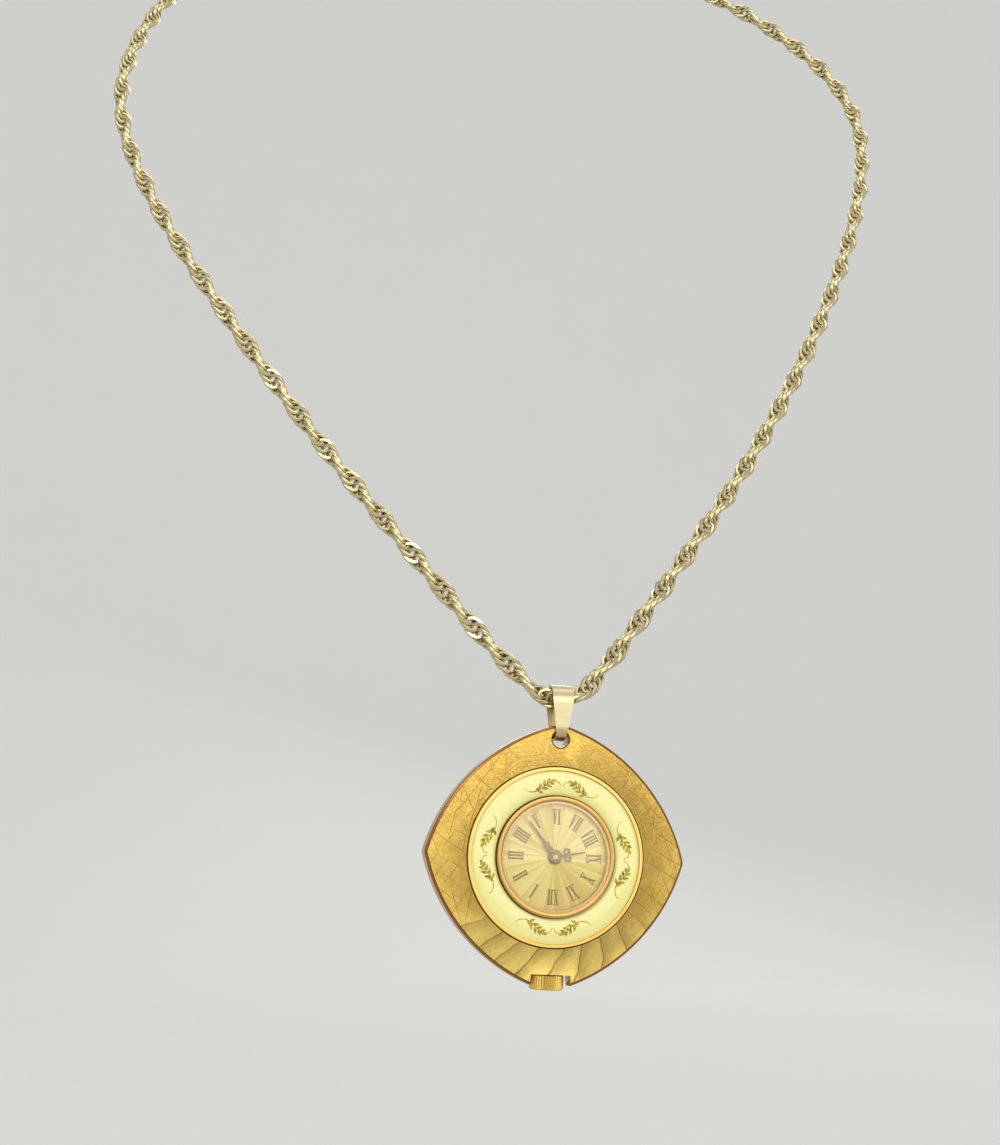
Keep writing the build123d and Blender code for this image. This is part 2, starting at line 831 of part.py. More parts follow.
def stem_clearances():
    """Room along the stem for the stem itself, the winding pinion and the clutch."""
    pinion_end = winding_pinion_start + winding_pinion_length
    return [
        along_stem(stem_radius + stem_bore_gap, pinion_end, plate_radius + overrun),
        along_stem(
            winding_pinion_radius + open_gap,
            winding_pinion_start - sliding_gap,
            pinion_end + sliding_gap,
        ),
        along_stem(clutch_radius + open_gap / 2, clutch_slot_start, winding_pinion_start),
        along_stem(pinion_bore_radius, stem_pilot_start, clutch_slot_start),
        along_stem(stem_pilot_radius + running_gap, stem_pilot_end - running_gap, stem_pilot_start),
    ]


def make_main_plate():
    """Main plate: dial seat, recesses for barrel and motion works, and pivot holes."""
    plate = disc(plate_radius, plate_back, plate_face)
    plate += washer(plate_radius, plate_radius - plate_rim_width, plate_face, dial_bottom)
    plate -= disc(motion_recess_radius, motion_floor, plate_face + overrun)
    setting_floor = setting_wheel_low - sliding_gap
    plate -= disc(setting_radius + train_module + open_gap, setting_floor, plate_face, setting_at)
    recess_high = behind(barrel_low_depth) + sliding_gap
    recess_radius = barrel_radius + barrel_module + barrel_recess_gap
    plate -= disc(recess_radius, plate_back - overrun, recess_high, barrel_at)
    plate -= stem_clearances()
    slot_top = plate_face + overrun
    half = winding_pinion_radius + open_gap
    pinion_far = winding_pinion_start + winding_pinion_length + sliding_gap
    slot_width = 2 * clutch_radius + open_gap
    plate -= block(slot_width, -winding_pinion_start, -clutch_slot_start, stem_level, slot_top)
    plate -= block(2 * half, -pinion_far, -winding_pinion_start + sliding_gap, stem_level, slot_top)
    groove_near = stem_groove_height - stem_groove_width
    groove_far = stem_groove_height + stem_groove_width + crown_pull
    plate -= block(2 * lever_pin_radius + 4 * open_gap, -groove_far, -groove_near, stem_level, slot_top)
    for point in (third_at, fourth_at, escape_at, pallet_at, balance_at):
        plate -= disc(pivot_radius + running_gap, plate_back - overrun, plate_face + overrun, point)
    plate -= disc(centre_post_radius + running_gap, plate_back - overrun, plate_face + overrun)
    plate -= disc(barrel_arbor_pivot_radius + running_gap, plate_back, plate_face + overrun, barrel_at)
    for point in (setting_lever_pivot, yoke_pivot):
        post_top = plate_face + lever_lift + lever_thickness + post_sink
        plate += disc(lever_post_radius, plate_face, post_top, point)
    plate += disc(lever_post_radius, motion_floor, hour_wheel_low - sliding_gap, minute_wheel_at)
    plate += disc(lever_post_radius, setting_floor, plate_face, setting_at)
    for angle in dial_foot_angles:
        foot_at = polar(dial_foot_distance, angle)
        plate -= disc(dial_foot_radius / 2, plate_face, plate_face + overrun, foot_at)
    place("main_plate", largest(plate))


def screw_points(angles):
    """Places of the bridge screws round the rim."""
    return [polar(bridge_screw_radius, angle) for angle in angles]


def half_disc(line, above, low, high):
    """The movement's round outline, cut along a level line."""
    body = disc(movement_disc_radius, low, high)
    span = 2 * movement_disc_radius + overrun
    if above:
        return body - block(span, -movement_disc_radius - overrun, line, low - overrun, high + overrun)
    return body - block(span, line, movement_disc_radius + overrun, low - overrun, high + overrun)


def make_barrel_bridge():
    """Bridge over the barrel, resting on a foot along the rim."""
    low = behind(barrel_bridge_depth + barrel_bridge_thickness)
    high = behind(barrel_bridge_depth)
    bridge = half_disc(barrel_bridge_line, False, low, high)
    span = 2 * movement_disc_radius
    right = barrel_bridge_right + span / 2
    bridge -= block(span, -span, span, low - overrun, high + overrun, right)
    well = centre_radius - third_pinion_radius
    bridge -= disc(centre_post_radius + open_gap, low - overrun, high + overrun)
    inner = movement_disc_radius - bridge_foot_width
    foot = sector(
        movement_disc_radius, inner, barrel_foot_start_angle, barrel_foot_end_angle, high, plate_back
    )
    bridge += foot
    bridge -= disc(well - wheel_hub_radius - wheel_rim_width, low - overrun, high + overrun)
    bridge -= stem_clearances()
    pinion_far = winding_pinion_start + winding_pinion_length + sliding_gap
    near = winding_pinion_start - sliding_gap
    bridge -= block(
        2 * winding_pinion_radius + open_gap, -pinion_far, -near, low - overrun, stem_level
    )
    bridge -= disc(barrel_arbor_pivot_radius + running_gap, low - overrun, high + overrun, barrel_at)
    for point in screw_points(barrel_screw_angles):
        bridge -= screw_hole(point, low - overrun, plate_back + overrun)
    bridge -= disc(screw_shank_radius, low - overrun, low + post_sink, crown_wheel_at)
    place("barrel_bridge", bridge)


def make_train_bridge():
    """Bridge over the third, fourth and escape wheels, with a finger to the centre."""
    low = behind(train_bridge_depth + train_bridge_thickness)
    high = behind(train_bridge_depth)
    bridge = half_disc(train_bridge_line, True, low, high)
    bridge += disc(bridge_finger_radius, low, high)
    bridge += bar((0, 0), third_at, 2 * bridge_finger_radius, low, high)
    well = balance_radius + balance_well_gap
    bridge -= disc(well, low - overrun, high + overrun, balance_at)
    inner = movement_disc_radius - bridge_foot_width
    bridge += sector(
        movement_disc_radius, inner, train_foot_start_angle, train_foot_end_angle, high, plate_back
    )
    for point in (third_at, fourth_at, escape_at):
        bridge -= disc(pivot_radius + running_gap, low - overrun, high + overrun, point)
    bridge -= disc(pivot_radius + running_gap, low - overrun, high + overrun)
    for point in screw_points(train_screw_angles):
        bridge -= screw_hole(point, low - overrun, plate_back + overrun)
    place("train_bridge", largest(bridge))


def largest(shape):
    """The one solid that stays after an offcut falls away."""
    return shape.solids().sort_by(SortBy.VOLUME)[-1]


def make_balance_cock():
    """Cock that carries the balance, on its own foot."""
    low = behind(balance_cock_depth + balance_cock_thickness)
    high = behind(balance_cock_depth)
    foot_at = polar(cock_foot_distance, cock_foot_direction)
    cock = disc(cock_end_radius, low, high, balance_at)
    cock += bar(foot_at, balance_at, cock_arm_width, low, high)
    cock += disc(cock_foot_radius, low, plate_back, foot_at)
    cock -= disc(pivot_radius + running_gap, low - overrun, high + overrun, balance_at)
    cock -= screw_hole(foot_at, low - overrun, plate_back + overrun)
    place("balance_cock", cock)


def make_pallet_bridge():
    """Small cock over the pallet fork, its foot outside the balance."""
    low = behind(pallet_bridge_depth + pallet_bridge_thickness)
    high = behind(pallet_bridge_depth)
    foot_at = polar(pallet_cock_distance, pallet_cock_direction)
    cock = disc(pallet_cock_end_radius, low, high, pallet_at)
    cock += bar(pallet_at, foot_at, pallet_cock_width, low, high)
    cock += disc(pallet_cock_foot_radius, low, plate_back, foot_at)
    cock -= disc(pivot_radius + running_gap, low - overrun, high + overrun, pallet_at)
    place("pallet_bridge", cock)


def make_bridge_screws():
    """The screws that hold the bridges and the cock, as one set."""
    barrel_seat = behind(barrel_bridge_depth + barrel_bridge_thickness)
    train_seat = behind(train_bridge_depth + train_bridge_thickness)
    cock_seat = behind(balance_cock_depth + balance_cock_thickness)
    screws = []
    for angle in barrel_screw_angles:
        screws.append(screw(polar(bridge_screw_radius, angle), barrel_seat, angle))
    for angle in train_screw_angles:
        screws.append(screw(polar(bridge_screw_radius, angle), train_seat, angle))
    cock_at = polar(cock_foot_distance, cock_foot_direction)
    screws.append(screw(cock_at, cock_seat, cock_foot_direction))
    place("bridge_screws", Compound(children=screws))


def make_barrel():
    """Barrel: a toothed cup for the mainspring, with a cover pressed on its back."""
    low = behind(barrel_high_depth - barrel_cover_thickness)
    high = behind(barrel_low_depth)
    drum = barrel_radius - barrel_drum_gap
    hollow = drum - barrel_wall
    tooth_high = behind(barrel_tooth_depth)
    cup = disc(drum, low, high)
    tooth_low = tooth_high - barrel_tooth_height
    cup += toothed_disc(barrel_teeth, barrel_radius, tooth_low, tooth_high, barrel_phase)
    cup -= disc(hollow, low - overrun, high - barrel_wall)
    cup -= disc(barrel_arbor_pivot_radius + running_gap, low, high + overrun)
    place("barrel", Pos(*barrel_at) * cup)
    cover_low = behind(barrel_high_depth)
    cover = washer(drum, barrel_arbor_pivot_radius + running_gap, cover_low, low)
    place("barrel_cover", Pos(*barrel_at) * cover)


def make_barrel_arbor():
    """Arbor inside the barrel, with a square for the ratchet wheel."""
    core_low = behind(barrel_high_depth - barrel_cover_thickness) + sliding_gap
    core_high = behind(barrel_low_depth) - barrel_wall - sliding_gap
    top = behind(ratchet_depth)
    body = disc(barrel_arbor_radius, core_low, core_high)
    body += disc(barrel_arbor_pivot_radius, top, motion_floor + motion_recess_depth / 2)
    square_low = behind(ratchet_depth + ratchet_thickness)
    half = ratchet_square / 2
    square = block(ratchet_square, -half, half, square_low, top + seat_gap)
    body += square
    place("barrel_arbor", Pos(*barrel_at) * body)


def make_mainspring():
    """Mainspring, wound from the arbor to the wall of the barrel."""
    inner = barrel_arbor_radius + mainspring_strip / 2 + seat_gap
    outer = barrel_radius - barrel_drum_gap - barrel_wall - mainspring_gap - mainspring_strip / 2
    pitch = (outer - inner) / mainspring_turns
    low = behind(barrel_high_depth - barrel_cover_thickness) + mainspring_lift
    spring = spiral_strip(inner, pitch, mainspring_turns, mainspring_strip, low, low + mainspring_height)
    place("mainspring", Pos(*barrel_at) * spring)


def make_train():
    """Centre, third and fourth wheels, each with its pinion on one arbor."""
    centre_low = behind(train_bridge_depth + train_bridge_thickness)
    centre = armed_wheel(centre_teeth, centre_radius, centre_wheel_depth, centre_phase)
    pinion_high = behind(0) - sliding_gap / 2
    centre += toothed_disc(
        centre_pinion_leaves,
        centre_pinion_radius,
        pinion_high - centre_pinion_height,
        pinion_high,
        centre_pinion_phase,
    )
    centre += disc(arbor_radius, behind(train_bridge_depth - sliding_gap), behind(centre_wheel_depth))
    centre += disc(pivot_radius, centre_low, behind(centre_wheel_depth))
    centre += disc(centre_post_radius, behind(centre_wheel_depth), minute_hand_level + hand_thickness)
    place("centre_wheel", centre)
    bridge_back = train_bridge_depth + train_bridge_thickness
    third = armed_wheel(third_teeth, third_radius, third_wheel_depth, third_phase)
    pinion_low = behind(third_pinion_depth + pinion_height)
    third += toothed_disc(
        small_pinion_leaves, third_pinion_radius, pinion_low, pinion_low + pinion_height, third_pinion_phase
    )
    place("third_wheel", Pos(*third_at) * pivoted(third, bridge_back))
    fourth = armed_wheel(fourth_teeth, fourth_radius, fourth_wheel_depth, fourth_phase)
    pinion_low = behind(fourth_pinion_depth + pinion_height)
    fourth += toothed_disc(
        small_pinion_leaves, fourth_pinion_radius, pinion_low, pinion_low + pinion_height, fourth_pinion_phase
    )
    place("fourth_wheel", Pos(*fourth_at) * pivoted(fourth, bridge_back))


def pivoted(wheel, bridge_back):
    """The wheel with its arbor, held between the plate and the bridge."""
    wheel += disc(pivot_radius, behind(bridge_back), behind(-plate_thickness / 2))
    low = behind(train_bridge_depth - sliding_gap)
    return wheel + disc(arbor_radius, low, behind(sliding_gap))


def make_escape_wheel():
    """Escape wheel with fifteen leaning teeth and its pinion."""
    low = behind(escape_wheel_depth) - wheel_thickness
    root = escape_wheel_radius - escape_tooth_length
    step = 360 / escape_teeth
    points = []
    for index in range(escape_teeth):
        angle = index * step
        points.append(polar(root, angle))
        points.append(polar(root, angle + step * escape_root_share))
        points.append(polar(escape_wheel_radius, angle + step * escape_root_share + escape_tooth_lean))
    wheel = Pos(0, 0, low) * extrude(make_face(Polyline(*points, close=True)), wheel_thickness)
    wheel -= arm_windows(root - wheel_rim_width / 2, wheel_hub_radius, low, low + wheel_thickness)
    pinion_low = behind(escape_pinion_depth + pinion_height)
    wheel += toothed_disc(
        small_pinion_leaves, escape_pinion_radius, pinion_low, pinion_low + pinion_height, escape_pinion_phase
    )
    place("escape_wheel", Pos(*escape_at) * pivoted(wheel, train_bridge_depth + train_bridge_thickness))


def make_pallet_fork():
    """Lever with two pallets at the escape wheel and a fork at the balance."""
    low = behind(escape_wheel_depth) - wheel_thickness
    high = behind(escape_wheel_depth)
    to_escape = pallet_direction + 180
    fork = disc(pallet_hub_radius, low, high)
    for side in (-1, 1):
        tip_direction = pallet_direction + side * pallet_span_angle
        tip_at = shifted(polar(pallet_distance, to_escape), escape_wheel_radius, tip_direction)
        tip_at = (tip_at[0] * pallet_reach_share, tip_at[1] * pallet_reach_share)
        fork += bar((0, 0), tip_at, pallet_arm_width, low, high)
        fork += disc(pallet_tip_width, low, high, tip_at)
    end = polar(fork_length, balance_direction)
    fork += bar((0, 0), end, pallet_arm_width, low, high)
    horns_start = polar(fork_length - fork_slot_length, balance_direction)
    horns_end = shifted(end, fork_slot_length, balance_direction)
    fork += bar(horns_start, horns_end, fork_width, low, high)
    slot_start = polar(fork_length, balance_direction)
    slot_end = polar(fork_length + 2 * fork_slot_length, balance_direction)
    fork -= bar(slot_start, slot_end, fork_slot_width, low - overrun, high + overrun)
    arbor_low = behind(pallet_bridge_depth + pallet_bridge_thickness)
    fork += disc(pivot_radius, arbor_low, behind(-plate_thickness / 2))
    place("pallet_fork", Pos(*pallet_at) * fork)


def make_balance():
    """Balance wheel with two arms, its staff, roller and impulse pin."""
    low = behind(balance_depth) - balance_thickness
    high = behind(balance_depth)
    inner = balance_radius - balance_rim_width
    wheel = washer(balance_radius, inner, low, high)
    wheel += bar((-inner - seat_gap, 0), (inner + seat_gap, 0), balance_arm_width, low, high)
    wheel += disc(balance_hub_radius, low, high)
    roller_low = behind(escape_wheel_depth) - wheel_thickness - roller_height - sliding_gap
    wheel += disc(roller_radius, roller_low, roller_low + roller_height)
    pin_at = polar(impulse_pin_offset, balance_direction + 180)
    wheel += disc(impulse_pin_radius, roller_low, behind(escape_wheel_depth), pin_at)
    staff_low = behind(balance_cock_depth + balance_cock_thickness)
    wheel += disc(pivot_radius, staff_low, behind(-plate_thickness / 2))
    wheel += disc(arbor_radius, behind(balance_cock_depth - sliding_gap), roller_low)
    collet_low = behind(hairspring_depth + hairspring_height)
    collet_radius = hairspring_inner_radius - hairspring_strip
    wheel += disc(collet_radius, collet_low, behind(hairspring_depth))
    place("balance_wheel", Pos(*balance_at) * wheel)


def make_hairspring():
    """Hairspring with its stud, hung from the balance cock."""
    low = behind(hairspring_depth) - hairspring_height
    spring = spiral_strip(
        hairspring_inner_radius,
        hairspring_pitch,
        hairspring_turns,
        hairspring_strip,
        low,
        low + hairspring_height,
    )
    stud_at = (hairspring_inner_radius + hairspring_pitch * hairspring_turns, 0)
    spring += disc(hairspring_stud_radius, behind(balance_cock_depth), low + hairspring_height, stud_at)
    place("hairspring", Pos(*balance_at) * Rot(0, 0, hairspring_turn) * spring)

def make_motion_works():
    """Cannon pinion, hour wheel, minute wheel and setting wheel under the dial."""
    cannon_low = minute_wheel_low
    cannon = toothed_disc(cannon_teeth, cannon_radius, cannon_low, cannon_low + cannon_height, cannon_phase)
    cannon += disc(cannon_tube_radius, cannon_low, minute_hand_level + hand_thickness)
    cannon -= disc(centre_post_radius + seat_gap, cannon_low - overrun, minute_hand_level + overrun)
    place("cannon_pinion", cannon)
    hour = toothed_disc(
        hour_wheel_teeth,
        hour_wheel_radius,
        hour_wheel_low,
        hour_wheel_low + hour_wheel_height,
        hour_wheel_phase,
    )
    hour += disc(hour_tube_radius, hour_wheel_low, hour_hand_level + hand_thickness)
    hour -= disc(cannon_tube_radius + running_gap, hour_wheel_low - overrun, hour_hand_level + overrun)
    place("hour_wheel", hour)
    post = lever_post_radius + running_gap
    minute_top = hour_wheel_low + hour_wheel_height
    minute = toothed_disc(
        minute_wheel_teeth,
        minute_wheel_radius,
        minute_wheel_low,
        minute_wheel_low + minute_wheel_height,
        minute_wheel_phase,
    )
    minute += toothed_disc(
        minute_pinion_leaves, minute_pinion_radius, minute_wheel_low, minute_top, minute_pinion_phase
    )
    minute -= disc(post, minute_wheel_low - overrun, minute_top + overrun)
    place("minute_wheel", Pos(*minute_wheel_at) * minute)
    setting = toothed_disc(
        setting_teeth,
        setting_radius,
        setting_wheel_low,
        setting_wheel_low + setting_wheel_height,
        setting_phase,
    )
    setting -= disc(post, setting_wheel_low - overrun, plate_face + overrun)
    place("setting_wheel", Pos(*setting_at) * setting)


def square_bar(side, near, far):
    """Square bar on the stem's axis, between two heights below the centre."""
    body = Box(side, far - near, side, align=(Align.CENTER, Align.MIN, Align.CENTER))
    return Pos(0, -far, stem_level) * body


def make_stem():
    """Winding stem: thread end in the crown, groove for the lever, square and pilot."""
    crown_end = notch_floor_height + crown_notch_gap + crown_length
    stem_end = crown_end - crown_cap
    stem = along_stem(stem_radius, stem_square_start, stem_end)
    near = stem_groove_height - stem_groove_width / 2
    far = stem_groove_height + stem_groove_width / 2
    stem -= along_stem(stem_radius + overrun, near, far) - along_stem(
        stem_groove_radius, near - overrun, far + overrun
    )
    stem += square_bar(stem_square, stem_pilot_start, stem_square_start)
    stem += along_stem(stem_pilot_radius, stem_pilot_end, stem_pilot_start)
    place("winding_stem", stem)


def toothed_bar(teeth, radius, near, far):
    """Toothed disc standing on the stem's axis."""
    size = 2 * radius / (teeth + 2 * tooth_top_share)
    body = toothed_disc(teeth, size * teeth / 2, 0, far - near)
    return Pos(0, -near, stem_level) * Rot(90, 0, 0) * body


def make_winding_pinion():
    """Winding pinion, loose on the stem's round part."""
    end = winding_pinion_start + winding_pinion_length
    pinion = toothed_bar(winding_pinion_teeth, winding_pinion_radius, winding_pinion_start, end)
    pinion -= along_stem(pinion_bore_radius, winding_pinion_start - overrun, end + overrun)
    place("winding_pinion", pinion)


def make_clutch():
    """Sliding clutch on the stem's square, toothed at both ends, with a fork groove."""
    end = clutch_start + clutch_length
    body = along_stem(clutch_radius - clutch_tooth_depth, clutch_start, end)
    body += toothed_bar(clutch_teeth, clutch_radius, clutch_start, clutch_start + clutch_tooth_length)
    body += toothed_bar(clutch_teeth, clutch_radius, end - clutch_tooth_length, end)
    middle = (clutch_start + end) / 2
    near = middle - clutch_groove_width / 2
    far = middle + clutch_groove_width / 2
    body -= along_stem(clutch_radius, near, far) - along_stem(
        clutch_groove_radius, near - overrun, far + overrun
    )
    body -= square_bar(stem_square + 2 * running_gap, clutch_start - overrun, end + overrun)
    place("clutch", body)


def make_levers():
    """Setting lever in the stem's groove and yoke in the clutch's groove."""
    low = plate_face + lever_lift
    high = low + lever_thickness
    hole = lever_post_radius + running_gap
    pin_at = (0, -stem_groove_height)
    lever = disc(lever_hub_radius, low, high, setting_lever_pivot)
    lever += bar(setting_lever_pivot, pin_at, lever_width, low, high)
    lever += disc(lever_width / 2, low, high, pin_at)
    pin_low = stem_level + stem_groove_radius + running_gap
    lever += disc(lever_pin_radius, pin_low, high, pin_at)
    lever -= disc(hole, low - overrun, high + overrun, setting_lever_pivot)
    place("setting_lever", lever)
    finger_at = (0, -(clutch_start + clutch_length / 2))
    yoke = disc(lever_hub_radius, low, high, yoke_pivot)
    yoke += bar(yoke_pivot, finger_at, lever_width, low, high)
    finger_low = stem_level + clutch_groove_radius + running_gap
    yoke += disc(yoke_finger_radius, finger_low, high, finger_at)
    yoke -= disc(hole, low - overrun, high + overrun, yoke_pivot)
    place("yoke", yoke)


def make_winding_wheels():
    """Ratchet wheel and crown wheel on the barrel bridge, with their screws."""
    low = behind(ratchet_depth + ratchet_thickness)
    high = behind(ratchet_depth)
    ratchet = toothed_disc(ratchet_teeth, ratchet_radius, low, high, ratchet_phase)
    square = Box(
        ratchet_square + 2 * seat_gap,
        ratchet_square + 2 * seat_gap,
        2 * ratchet_thickness + overrun,
    )
    ratchet -= Pos(0, 0, (low + high) / 2) * square
    place("ratchet_wheel", Pos(*barrel_at) * ratchet)
    crown_wheel = toothed_disc(crown_wheel_teeth, crown_wheel_radius, low, high, crown_wheel_phase)
    crown_wheel -= disc(crown_wheel_hub_radius, low - overrun, high + overrun)
    place("crown_wheel", Pos(*crown_wheel_at) * crown_wheel)
    cap = disc(wheel_screw_radius, low - wheel_screw_height, low)
    slot = Box(4 * wheel_screw_radius, screw_slot_width, 2 * screw_slot_depth)
    cap -= Pos(0, 0, low - wheel_screw_height) * slot
    place("ratchet_screw", Pos(*barrel_at) * cap)
    hub_low = low - seat_gap
    hub_high = behind(barrel_bridge_depth + barrel_bridge_thickness)
    hub = disc(crown_wheel_hub_radius - running_gap, hub_low, hub_high)
    hub += disc(crown_wheel_hub_radius + wheel_screw_height, hub_low - wheel_screw_height, hub_low)
    hub -= Pos(0, 0, hub_low - wheel_screw_height) * slot
    place("crown_wheel_screw", Pos(*crown_wheel_at) * hub)


def make_click():
    """Click that holds the ratchet wheel, and its bent spring."""
    low = behind(ratchet_depth + click_thickness)
    high = behind(ratchet_depth) + seat_gap
    tip_at = shifted(barrel_at, ratchet_radius + winding_module, click_direction)
    click_pivot = shifted(barrel_at, click_pivot_distance, click_direction + click_pivot_lead_angle)
    click = disc(click_hub_radius, low, high, click_pivot)
    click += bar(click_pivot, tip_at, click_width, low, high)
    clear = ratchet_radius + winding_module * tooth_top_share + sliding_gap
    click -= disc(clear, low - overrun, high + overrun, barrel_at)
    place("click", largest(click))
    spring = sector(
        click_spring_radius,
        click_spring_radius - click_spring_width,
        click_spring_start_angle,
        click_spring_end_angle,
        low,
        high,
    )
    foot_at = polar(click_spring_radius, click_spring_start_angle)
    spring += disc(click_spring_foot_radius, low, high, foot_at)
    place("click_spring", Pos(*barrel_at) * spring)


def make_crown():
    """Fluted crown with a boss for the stem and a hollow for the sealing ring."""
    near = notch_floor_height + crown_notch_gap
    far = near + crown_length
    step = 360 / crown_flutes
    points = []
    for index in range(crown_flutes):
        angle = index * step
        points.append(polar(crown_radius, angle))
        points.append(polar(crown_radius - crown_flute_depth, angle + step / 2))
    knob = extrude(make_face(Polyline(*points, close=True)), crown_length)
    shape = extrude(RegularPolygon(crown_radius, crown_flutes), crown_length)
    ends = shape.faces().filter_by(Axis.Z)
    knob = knob & chamfer(ends[0].edges() + ends[1].edges(), crown_edge_bevel)
    knob = Pos(0, -near, stem_level) * Rot(90, 0, 0) * knob
    knob -= along_stem(crown_cavity_radius, near - overrun, near + crown_cavity_depth)
    knob += along_stem(crown_boss_radius, near + crown_boss_length, far - crown_edge_bevel)
    knob -= along_stem(stem_radius, near - overrun, far - crown_cap)
    place("crown", knob)


def make_crown_fittings():
    """Tube pressed into the case, and the sealing ring that slides with the crown."""
    outside = notch_floor_height + crown_tube_stand
    tube = along_stem(crown_tube_radius, notch_floor_height - crown_tube_length, outside)
    tube -= along_stem(stem_radius + running_gap, 0, outside + overrun)
    place("crown_tube", tube)
    near = notch_floor_height + crown_notch_gap + crown_tube_stand + open_gap
    ring = along_stem(gasket_radius, near, near + gasket_thickness)
    ring -= along_stem(stem_radius + running_gap, 0, near + gasket_thickness + overrun)
    place("crown_gasket", ring)


def bail_profile(inset):
    """Side view of the folded strip, drawn inside its outer line by the inset."""
    radius = bail_top_radius - inset
    top_centre = chain_height + chain_diameter / 2 + bail_chain_gap + bail_strip - bail_top_radius
    foot_half = front_face + bail_case_gap + bail_strip - inset
    foot = hole_height - bail_foot_sag + inset
    corner = bail_foot_corner - inset
    side = Polyline(
        (top_centre, radius),
        (foot, foot_half),
        (foot, -foot_half),
        (top_centre, -radius),
    )
    over = ThreePointArc((top_centre, -radius), (top_centre + radius, 0), (top_centre, radius))
    face = make_face([*side.edges(), over])
    low_corners = face.vertices().sort_by(Axis.X)[0:2]
    return fillet(low_corners, corner)


def make_bail():
    """Strip folded over the chain, its two legs closed through the case's hole."""
    loop = extrude(Plane.YZ * bail_profile(0), bail_top_width / 2, both=True)
    loop -= extrude(Plane.YZ * bail_profile(bail_strip), bail_top_width, both=True)
    top = chain_height + bail_top_radius + overrun
    foot = hole_height - bail_foot_sag - bail_strip
    taper = Polyline(
        (-bail_foot_width / 2, foot),
        (bail_foot_width / 2, foot),
        (bail_foot_width / 2, foot + bail_strip),
        (bail_top_width / 2, chain_height),
        (bail_top_width / 2, top),
        (-bail_top_width / 2, top),
        (-bail_top_width / 2, chain_height),
        (-bail_foot_width / 2, foot + bail_strip),
        close=True,
    )
    strip = loop & extrude(make_face(taper), 2 * bail_top_radius, both=True)
    place("bail", strip)


def bend_radii(points):
    """For each corner, a share of the shorter run over the tangent of half the turn."""
    radii = []
    for before, corner, after in zip(points, points[1:], points[2:]):
        first = Vector(*corner) - Vector(*before)
        second = Vector(*after) - Vector(*corner)
        half_turn = math.radians(first.get_angle(second) / 2)
        shorter = min(first.length, second.length)
        radii.append(bend_share * shorter / math.tan(half_turn))
    return radii


def make_chain():
    """The rope chain as one plain tube round the neck and through the bail."""
    radii = bend_radii(chain_route)
    print("chain bend radii:", [round(radius, 1) for radius in radii])
    path = FilletPolyline(*chain_route, radius=radii)
    start = Plane(origin=path @ 0, z_dir=path % 0)
    section = RegularPolygon(chain_diameter / 2, fewest_flats)
    tube = sweep(start * section, path=path)
    expected = section.area * path.length
    print("chain length", round(path.length, 1), "tube volume", round(tube.volume, 1))
    print("section times length", round(expected, 1))
    parts["chain"] = tube


def ring_arc(radius, wire_radius, start_angle, end_angle, flats):
    """Bent round bar about the Z axis between two angles, in short straight runs."""
    step = (end_angle - start_angle) / flats
    points = [polar(radius, start_angle + step * index) for index in range(flats)]
    whole = end_angle - start_angle == 360
    if not whole:
        points.append(polar(radius, end_angle))
    path = Polyline(*points, close=whole)
    square_on = Plane(origin=path @ 0, z_dir=path % 0)
    section = RegularPolygon(wire_radius, fewest_flats)
    return sweep(square_on * section, path=path, transition=Transition.RIGHT)


def make_clasp():
    """Spring ring at the nape, its sliding tongue, and the chain's two end rings."""
    nape_y = chain_route[0][1]
    nape_z = chain_route[0][2]
    left_end = chain_route[0][0]
    reach = end_ring_radius + end_ring_wire_radius
    ring = ring_arc(end_ring_radius, end_ring_wire_radius, 0, 360, ring_flats)
    left_x = left_end + seat_gap + reach
    parts["end_ring_left"] = Pos(left_x, nape_y, nape_z) * ring
    right_x = chain_route[-1][0] - seat_gap - reach
    parts["end_ring_right"] = Pos(right_x, nape_y, nape_z) * ring
    hole = end_ring_radius - end_ring_wire_radius
    clasp_x = left_x + hole - clasp_tube_radius - sliding_gap + clasp_radius
    body = ring_arc(
        clasp_radius,
        clasp_tube_radius,
        clasp_gap_end_angle,
        clasp_gap_start_angle + 360,
        clasp_flats,
    )
    eyelet_x = clasp_radius + eyelet_radius
    body += Pos(eyelet_x, 0, 0) * ring_arc(eyelet_radius, eyelet_wire_radius, 0, 360, ring_flats)
    bore = clasp_tongue_half + running_gap
    tail = clasp_tongue_tail_angle - clasp_travel_angle - 2 * running_angle
    pocket_end = clasp_gap_end_angle + clasp_pocket_angle
    body -= sector(clasp_radius + bore, clasp_radius - bore, tail, pocket_end, -bore, bore)
    slot_end = clasp_tongue_tail_angle + 2 * knob_half_angle
    slot_reach = clasp_radius + clasp_tube_radius + overrun
    slot_half = knob_radius + running_gap
    body -= sector(slot_reach, clasp_radius, tail, slot_end, -slot_half, slot_half)
    standing = Pos(clasp_x, nape_y, nape_z) * Rot(90, 0, 0)
    parts["clasp_ring"] = standing * largest(body)
    tongue = sector(
        clasp_radius + clasp_tongue_half,
        clasp_radius - clasp_tongue_half,
        clasp_tongue_tail_angle,
        pocket_end - running_angle,
        -clasp_tongue_half,
        clasp_tongue_half,
    )
    knob_angle = clasp_tongue_tail_angle + knob_half_angle
    post = disc(knob_radius, 0, clasp_tube_radius + knob_height)
    post = Rot(0, 0, knob_angle) * Pos(clasp_radius, 0, 0) * Rot(0, 90, 0) * post
    parts["clasp_trigger"] = standing * (tongue + post)
    print("clasp centre", round(clasp_x, 3), nape_y, nape_z)


